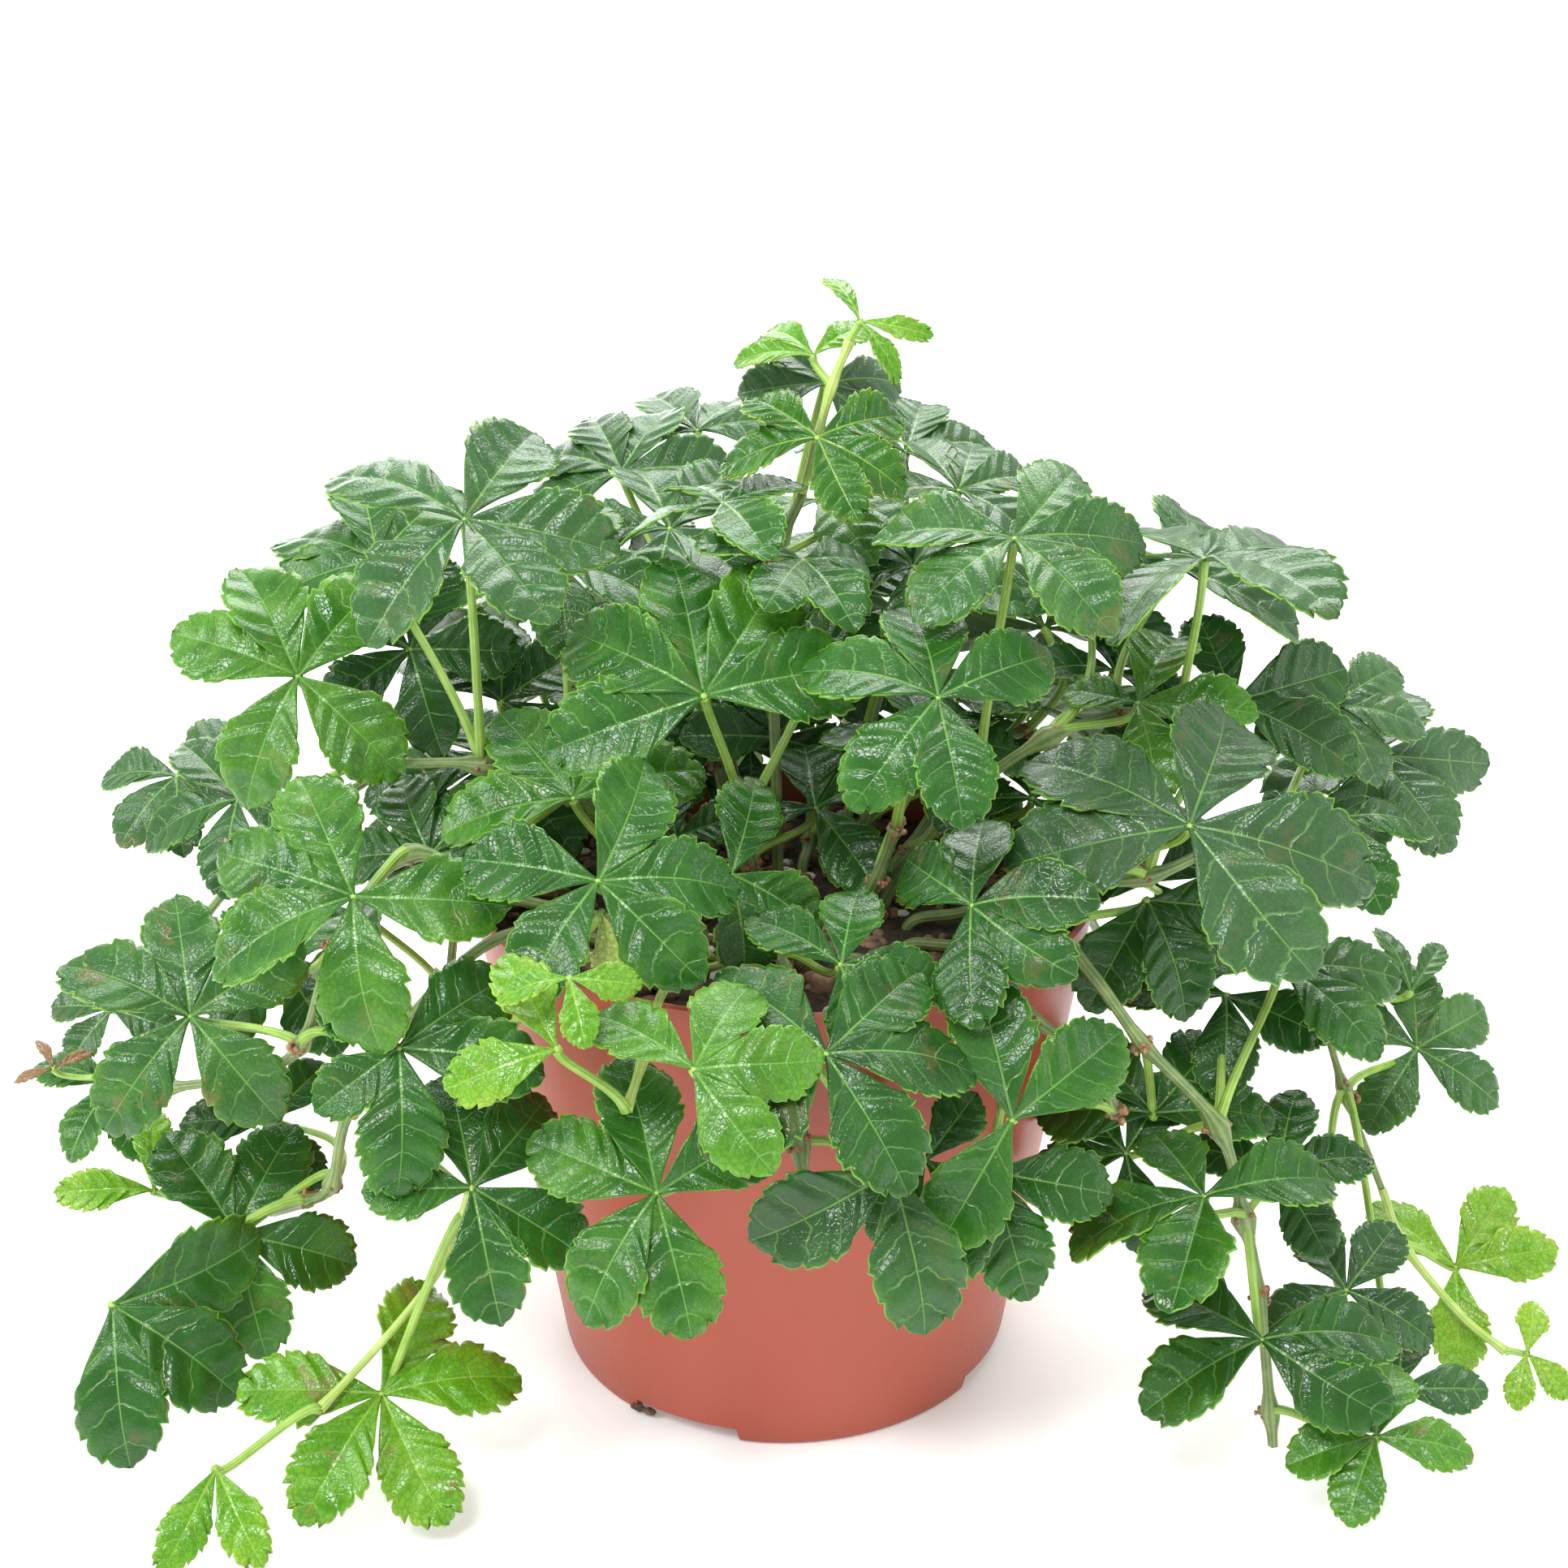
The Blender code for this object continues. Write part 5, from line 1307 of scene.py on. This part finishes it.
def growStalks(name, one, plans, materials):
    s = stalks
    draw = random.Random("stalks " + name)
    heap = newHeap()
    plan = one["plan"]
    young = name.startswith("shoot")
    points = [np.array(p) for p in one["route"]]
    if plan["growsFrom"]:
        points = [np.array(plans[plan["growsFrom"]]["points"][-1])] + points[2:]
    route = smoothLine(points, s["stemSteps"])
    joints = [np.array(leafHere["joint"]) for leafHere in one["leaves"]]
    joints += [np.array(plan["points"][at]) for at in s["bareKnots"].get(name, ())]
    thin = s["thin"] if young or name == "stem_right_thin" else 1.0
    taper = np.linspace(*s["taper"], len(route)) * s["stemRadius"] * thin
    for joint in joints:
        near = np.linalg.norm(route - joint, axis=1)
        taper += s["swelling"] * thin * np.exp(-(near / s["swellingLength"]) ** 2)
    addTube(heap, route, taper, (0.4, 0, 0), 1)
    for leafHere in one["leaves"]:
        posed = leafHere["posed"]
        path = petioleRoute(leafHere["joint"], posed, leafHere["bow"], s["petioleSteps"])
        t = np.linspace(0, 1, len(path))
        size = s["leastSize"] + s["addedSize"] * min(1, posed["reach"] / s["fullReach"])
        radii = (s["petioleRadius"] + (s["baseRadius"] - s["petioleRadius"]) * np.exp(-t * s["baseFade"])
                 + (s["topRadius"] - s["petioleRadius"]) * np.exp(-(1 - t) * s["topFade"])) * size
        path[-1] = path[-1] - posed["normal"] * s["hubBelow"]
        addTube(heap, [np.array(p) for p in path], radii, (0.5, 0, 0), 0)
        below = np.array(posed["hub"]) - np.array(posed["normal"]) * s["hubBelow"]
        addBall(heap, below, s["hubRadius"] * size * s["hubBall"], s["hubBall"], draw, (0.5, 0, 0), 0)
    if not young:
        seen = []
        for joint in joints:
            if any(np.linalg.norm(joint - other) < s["sameJoint"] for other in seen):
                continue
            seen.append(joint)
            count = draw.randint(*s["warts"])
            middle = Vector(joint)
            placed = []
            for k in range(count):
                way = Vector([draw.gauss(0, 1) for _ in range(3)]).normalized()
                size = draw.uniform(*s["wartRadius"])
                centre = middle + way * draw.uniform(*s["wartReach"])
                if k > count * s["wartsOnStem"]:
                    # the later ones sit on one that is there already
                    under, underSize = draw.choice(placed)
                    way = (way + (under - middle).normalized() * s["wartOutward"]).normalized()
                    centre = under + way * (size + underSize) * s["wartSpacing"]
                if (centre - middle).length > s["wartFarthest"]:
                    continue
                placed.append((centre, size))
                addBall(heap, centre, size, 1.0, draw, (0, 0, 0), 2)
    pieceFrom(heap, "stalks_of_" + name, materials, [name])


def innerRadius(z):
    s = potSizes
    if z < s["flareHeight"]:
        return s["footRadius"] + (s["flareRadius"] - s["footRadius"]) * z / s["flareHeight"] - s["wall"]
    share = (z - s["flareHeight"]) / (s["height"] - s["flareHeight"])
    return s["flareRadius"] + (s["topRadius"] - s["flareRadius"]) * share - s["wall"]


def turnedMesh(name, profile, steps):
    mesh = bpy.data.meshes.new(name)
    edges = [(i, (i + 1) % len(profile)) for i in range(len(profile))]
    mesh.from_pydata([(r * mm, 0, z * mm) for r, z in profile], edges, [])
    thing = addObject(name, mesh)
    screw = thing.modifiers.new("turn", "SCREW")
    screw.steps = steps
    screw.render_steps = steps
    screw.use_merge_vertices = True
    screw.merge_threshold = potSizes["weld"]
    return thing


def addCutter(cutters, name, shape, place):
    mesh = bpy.data.meshes.new(name)
    shape.to_mesh(mesh)
    shape.free()
    cutter = bpy.data.objects.new(name, mesh)
    cutter.location = place
    cutters.objects.link(cutter)
    return cutter


def makePot():
    s = potSizes
    lip, soft, height = s["lipRound"], s["flareSoft"], s["height"]
    top, flare, foot = s["topRadius"], s["flareRadius"], s["footRadius"]
    inner = foot - s["footRing"]
    swell, swellHeight = s["footSwell"]
    over, under = s["flareSwell"]
    profile = [(top - lip, height), (top, height - lip), (flare + over, s["flareHeight"] + soft),
               (flare + under, s["flareHeight"] - soft), (foot + swell, swellHeight),
               (foot, s["footRound"]), (foot - s["footRound"], 0.0), (inner + s["footRoundIn"], 0.0),
               (inner, s["footRound"]), (inner, s["floorUnder"]), (s["drainCentre"], s["floorUnder"]),
               (s["drainCentre"], s["floorTop"]), (innerRadius(s["floorTop"]), s["floorTop"]),
               (innerRadius(s["flareHeight"]), s["flareHeight"]), (top - s["wall"], height - lip),
               (top - s["wall"] + lip * s["lipInside"], height)]
    pot = turnedMesh("terracotta_pot", profile, s["steps"])
    cutters = bpy.data.collections.new("potCutters")
    for i in range(s["notches"]):
        bearing = math.radians(s["firstNotch"] + 360 * i / s["notches"])
        shape = bmesh.new()
        bmesh.ops.create_cube(shape, size=mm)
        for vertex in shape.verts:
            if vertex.co.z > 0:
                vertex.co.y *= s["notchTaper"]
        place = Vector((math.cos(bearing), math.sin(bearing), 0)) * (foot - s["notchInside"]) * mm
        notch = addCutter(cutters, "footNotch", shape, place)
        notch.scale = (3 * s["footRing"], s["notchWidth"], 2 * s["notchHeight"])
        notch.rotation_euler = (0, 0, bearing)
    for i in range(s["drains"]):
        bearing = math.tau * i / s["drains"]
        shape = bmesh.new()
        bmesh.ops.create_cone(shape, cap_ends=True, segments=s["drainSides"], radius1=s["drain"] * mm,
                              radius2=s["drain"] * mm, depth=s["drainLength"] * mm)
        place = (s["drainCircle"] * math.cos(bearing), s["drainCircle"] * math.sin(bearing), s["drainMiddle"])
        addCutter(cutters, "drain", shape, Vector(place) * mm)
    bpy.context.scene.collection.children.link(cutters)
    cut = pot.modifiers.new("cut", "BOOLEAN")
    cut.operation = "DIFFERENCE"
    cut.operand_type = "COLLECTION"
    cut.collection = cutters
    bpy.context.view_layer.update()
    shaped = bpy.data.meshes.new_from_object(pot.evaluated_get(bpy.context.evaluated_depsgraph_get()))
    pot.modifiers.clear()
    pot.data = shaped
    for thing in list(cutters.objects):
        bpy.data.objects.remove(thing, do_unlink=True)
    bpy.data.collections.remove(cutters)
    shaped.shade_smooth()
    shaped.set_sharp_from_angle(angle=s["sharpFrom"])
    shaped.materials.clear()
    shaped.materials.append(potMaterial())
    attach(pot, "root")
    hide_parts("pot")


soilLook = {
    "seed": 5,
    "rings": 34,
    "spokes": 110,
    "height": 105.0,
    "lumps": 2.3,
    "bark": 320,
    "barkSize": (1.2, 3.6),
    "perlite": 150,
    "perliteSize": (0.7, 1.9),
    "rootEnds": ((-34.2, -41.0, 1.2), (-30.0, -43.2, 1.1)),
    "rootLumps": 7,
    "rootSize": (0.8, 1.1),
    "rootSquash": 0.8,
    "dome": 1.2,
    "domeRadius": 66.0,
    "wallGap": 0.25,
    "firstRing": 0.02,
    "skirt": 101.0,
    "bitsInside": 2.5,
    "bitsRaised": 0.2,
    "bitsSquash": (0.35, 0.8),
    "waves": ((0, 0.11, 0.6), (7, 0.35, 0.4)),  # where in the noise, how fine, how strong
}


def makeSoil():
    s = soilLook
    draw = random.Random(s["seed"])
    soilMaterial = grainMaterial("pottingMix")
    barkMaterial = grainMaterial("barkBits")
    perliteMaterial = grainMaterial("perlite")
    for under in frame["nodes"]["soil"].material_slots:
        under.material = soilMaterial

    def heightAt(x, y):
        lump = sum(noise.noise(Vector((x, y, z)) * fine) * strong for z, fine, strong in s["waves"])
        middle = 1 - (x * x + y * y) / s["domeRadius"] ** 2
        return s["height"] + s["dome"] * middle + lump * s["lumps"]

    outer = innerRadius(s["height"]) - s["wallGap"]
    heap = newHeap()
    grid = np.zeros((s["rings"], s["spokes"], 3))
    for i in range(s["rings"]):
        r = outer * ((i + s["firstRing"]) / (s["rings"] - 1)) if i < s["rings"] - 1 else outer
        for k in range(s["spokes"]):
            turn = math.tau * k / s["spokes"]
            x, y = r * math.cos(turn), r * math.sin(turn)
            grid[i, k] = (x, y, heightAt(x, y))
    skirt = grid[-1:].copy()
    skirt[..., 2] = s["skirt"]
    grid = np.concatenate((grid, skirt))
    flat = grid[..., :2] / 10
    addGrid(heap, grid, flat, flat, (0, 0, 0), 0, closed=True)
    for count, sizes, slot in ((s["bark"], s["barkSize"], 1), (s["perlite"], s["perliteSize"], 2)):
        for _ in range(count):
            r = (outer - s["bitsInside"]) * math.sqrt(draw.random())
            turn = draw.uniform(0, math.tau)
            x, y = r * math.cos(turn), r * math.sin(turn)
            size = draw.uniform(*sizes)
            centre = (x, y, heightAt(x, y) + size * s["bitsRaised"])
            addBall(heap, centre, size, draw.uniform(*s["bitsSquash"]), draw, (0, 0, 0), slot)
    pieceFrom(heap, "soil_surface", [soilMaterial, barkMaterial, perliteMaterial], [])

    # a bit of root and soil that sticks out under the foot, by the front notch
    heap = newHeap()
    start, end = (Vector(p) for p in s["rootEnds"])
    for k in range(s["rootLumps"]):
        centre = start.lerp(end, k / (s["rootLumps"] - 1))
        addBall(heap, centre, draw.uniform(*s["rootSize"]), s["rootSquash"], draw, (0, 0, 0), 0)
    pieceFrom(heap, "root_crumb", [barkMaterial], [])


studio = {
    "floorReach": 30.0,
    "floorWhite": 0.94,
    "floorGlow": 0.16,
    "floorRough": 0.9,
    "floorUnder": 0.3,
    "horizon": 1.0,
    "low": 0.52,  # the surroundings' brightness: low and in front, then what is added behind and above
    "behind": 0.32,
    "above": 0.40,
    "behindFrom": (-0.4, 0.8),
    "aboveFrom": (0.2, 0.9),
    "horizonTo": (0.1, 0.45),
    "aim": (0, 0, 0.12),
    "lights": {
        "overheadSoftbox": ((0.15, 0.75, 1.15), (1.1, 0.7), 18),
        "windowSoftbox": ((-1.15, -0.35, 0.95), (0.5, 0.7), 12),
        "frontSoftbox": ((-0.25, -0.75, 1.15), (0.4, 0.35), 11),
        "rightFill": ((1.3, -0.5, 0.6), (0.6, 0.9), 4),
        "backFill": ((-0.5, 1.4, 0.5), (0.9, 0.7), 7),
    },
}


def makeStage():
    s = studio
    far = s["floorReach"]
    floorMesh = bpy.data.meshes.new("paleFloor")
    corners = [(-far, -far, 0), (far, -far, 0), (far, far, 0), (-far, far, 0)]
    floorMesh.from_pydata(corners, [], [(0, 1, 2, 3)])
    floor = addObject("paleFloor", floorMesh)
    floor.location.z = -s["floorUnder"] * mm
    made, tree, shader = newMaterial("palePaper")
    shader.inputs["Base Color"].default_value = (s["floorWhite"], s["floorWhite"], s["floorWhite"], 1)
    shader.inputs["Roughness"].default_value = s["floorRough"]
    shader.inputs["Emission Color"].default_value = (1, 1, 1, 1)
    shader.inputs["Emission Strength"].default_value = s["floorGlow"]
    floorMesh.materials.append(made)

    world = bpy.data.worlds.new("studioWhite")
    world.use_nodes = True
    tree = world.node_tree
    way = tree.nodes.new("ShaderNodeSeparateXYZ")
    tree.links.new(tree.nodes.new("ShaderNodeTexCoord").outputs["Generated"], way.inputs[0])
    back, height = way.outputs[1], way.outputs[2]
    bright = maths(tree, "ADD", ramp(tree, back, *s["behindFrom"], s["low"], s["low"] + s["behind"]),
                   ramp(tree, height, *s["aboveFrom"], 0.0, s["above"]))
    bright = maths(tree, "MAXIMUM", bright, ramp(tree, height, *s["horizonTo"], s["horizon"], s["low"]))
    tree.nodes["Background"].inputs[0].default_value = (1, 1, 1, 1)
    tree.links.new(bright, tree.nodes["Background"].inputs[1])
    bpy.context.scene.world = world

    for name, (spot, size, power) in s["lights"].items():
        light = bpy.data.lights.new(name, "AREA")
        light.shape = "RECTANGLE"
        light.size, light.size_y = size
        light.energy = power
        lamp = addObject(name, light)
        lamp.location = spot
        lamp.rotation_euler = (Vector(s["aim"]) - Vector(spot)).to_track_quat("-Z", "Y").to_euler()
    bpy.context.scene.view_settings.view_transform = "Standard"


photoCamera = {
    "lens": 50,
    "sensor": 36,
    "clipStart": 0.01,
    "downwards": 21.34,
}


def makeCamera():
    s = photoCamera
    lens = bpy.data.cameras.new("photoView")
    lens.lens = s["lens"]
    lens.sensor_width = s["sensor"]
    lens.clip_start = s["clipStart"]
    camera = addObject("photoView", lens)
    camera.location = settling["eye"] * mm
    camera.rotation_euler = (math.radians(90 - s["downwards"]), 0, 0)
    bpy.context.scene.camera = camera


makeCamera()
makeStage()
print("stage and camera set")

grown = fitPlant(plant, backStems())
print("plan settled, leaves:", sum(len(one["leaves"]) for one in grown.values()))

grownSurface = leafMaterial("glossyLeaf", leafColours["grown"])
grownUnderside = leafMaterial("leafUnderside", leafColours["grown"], underside=True)
youngSurface = leafMaterial("youngLeaf", leafColours["young"])
youngUnderside = leafMaterial("youngUnderside", leafColours["young"], underside=True)
petioleSurface = stalkMaterial("paleGreenPetiole")
stemSurface = stalkMaterial("greyGreenStem")
youngStem = stalkMaterial("youngStem")
warts = grainMaterial("rustyWarts")

rowSets = [leafletRows(lobes) for lobes in leaflet["lobes"]]
standing = standingStalks(grown)
for name, one in grown.items():
    young = name.startswith("shoot")
    surfaces = [youngSurface, youngUnderside] if young else [grownSurface, grownUnderside]
    growLeaves(name, one, rowSets, surfaces, standing)
    growStalks(name, one, plant, [petioleSurface, youngStem if young else stemSurface, warts])
print("leaves and stalks grown")

makePot()
makeSoil()
print("pot and soil made")
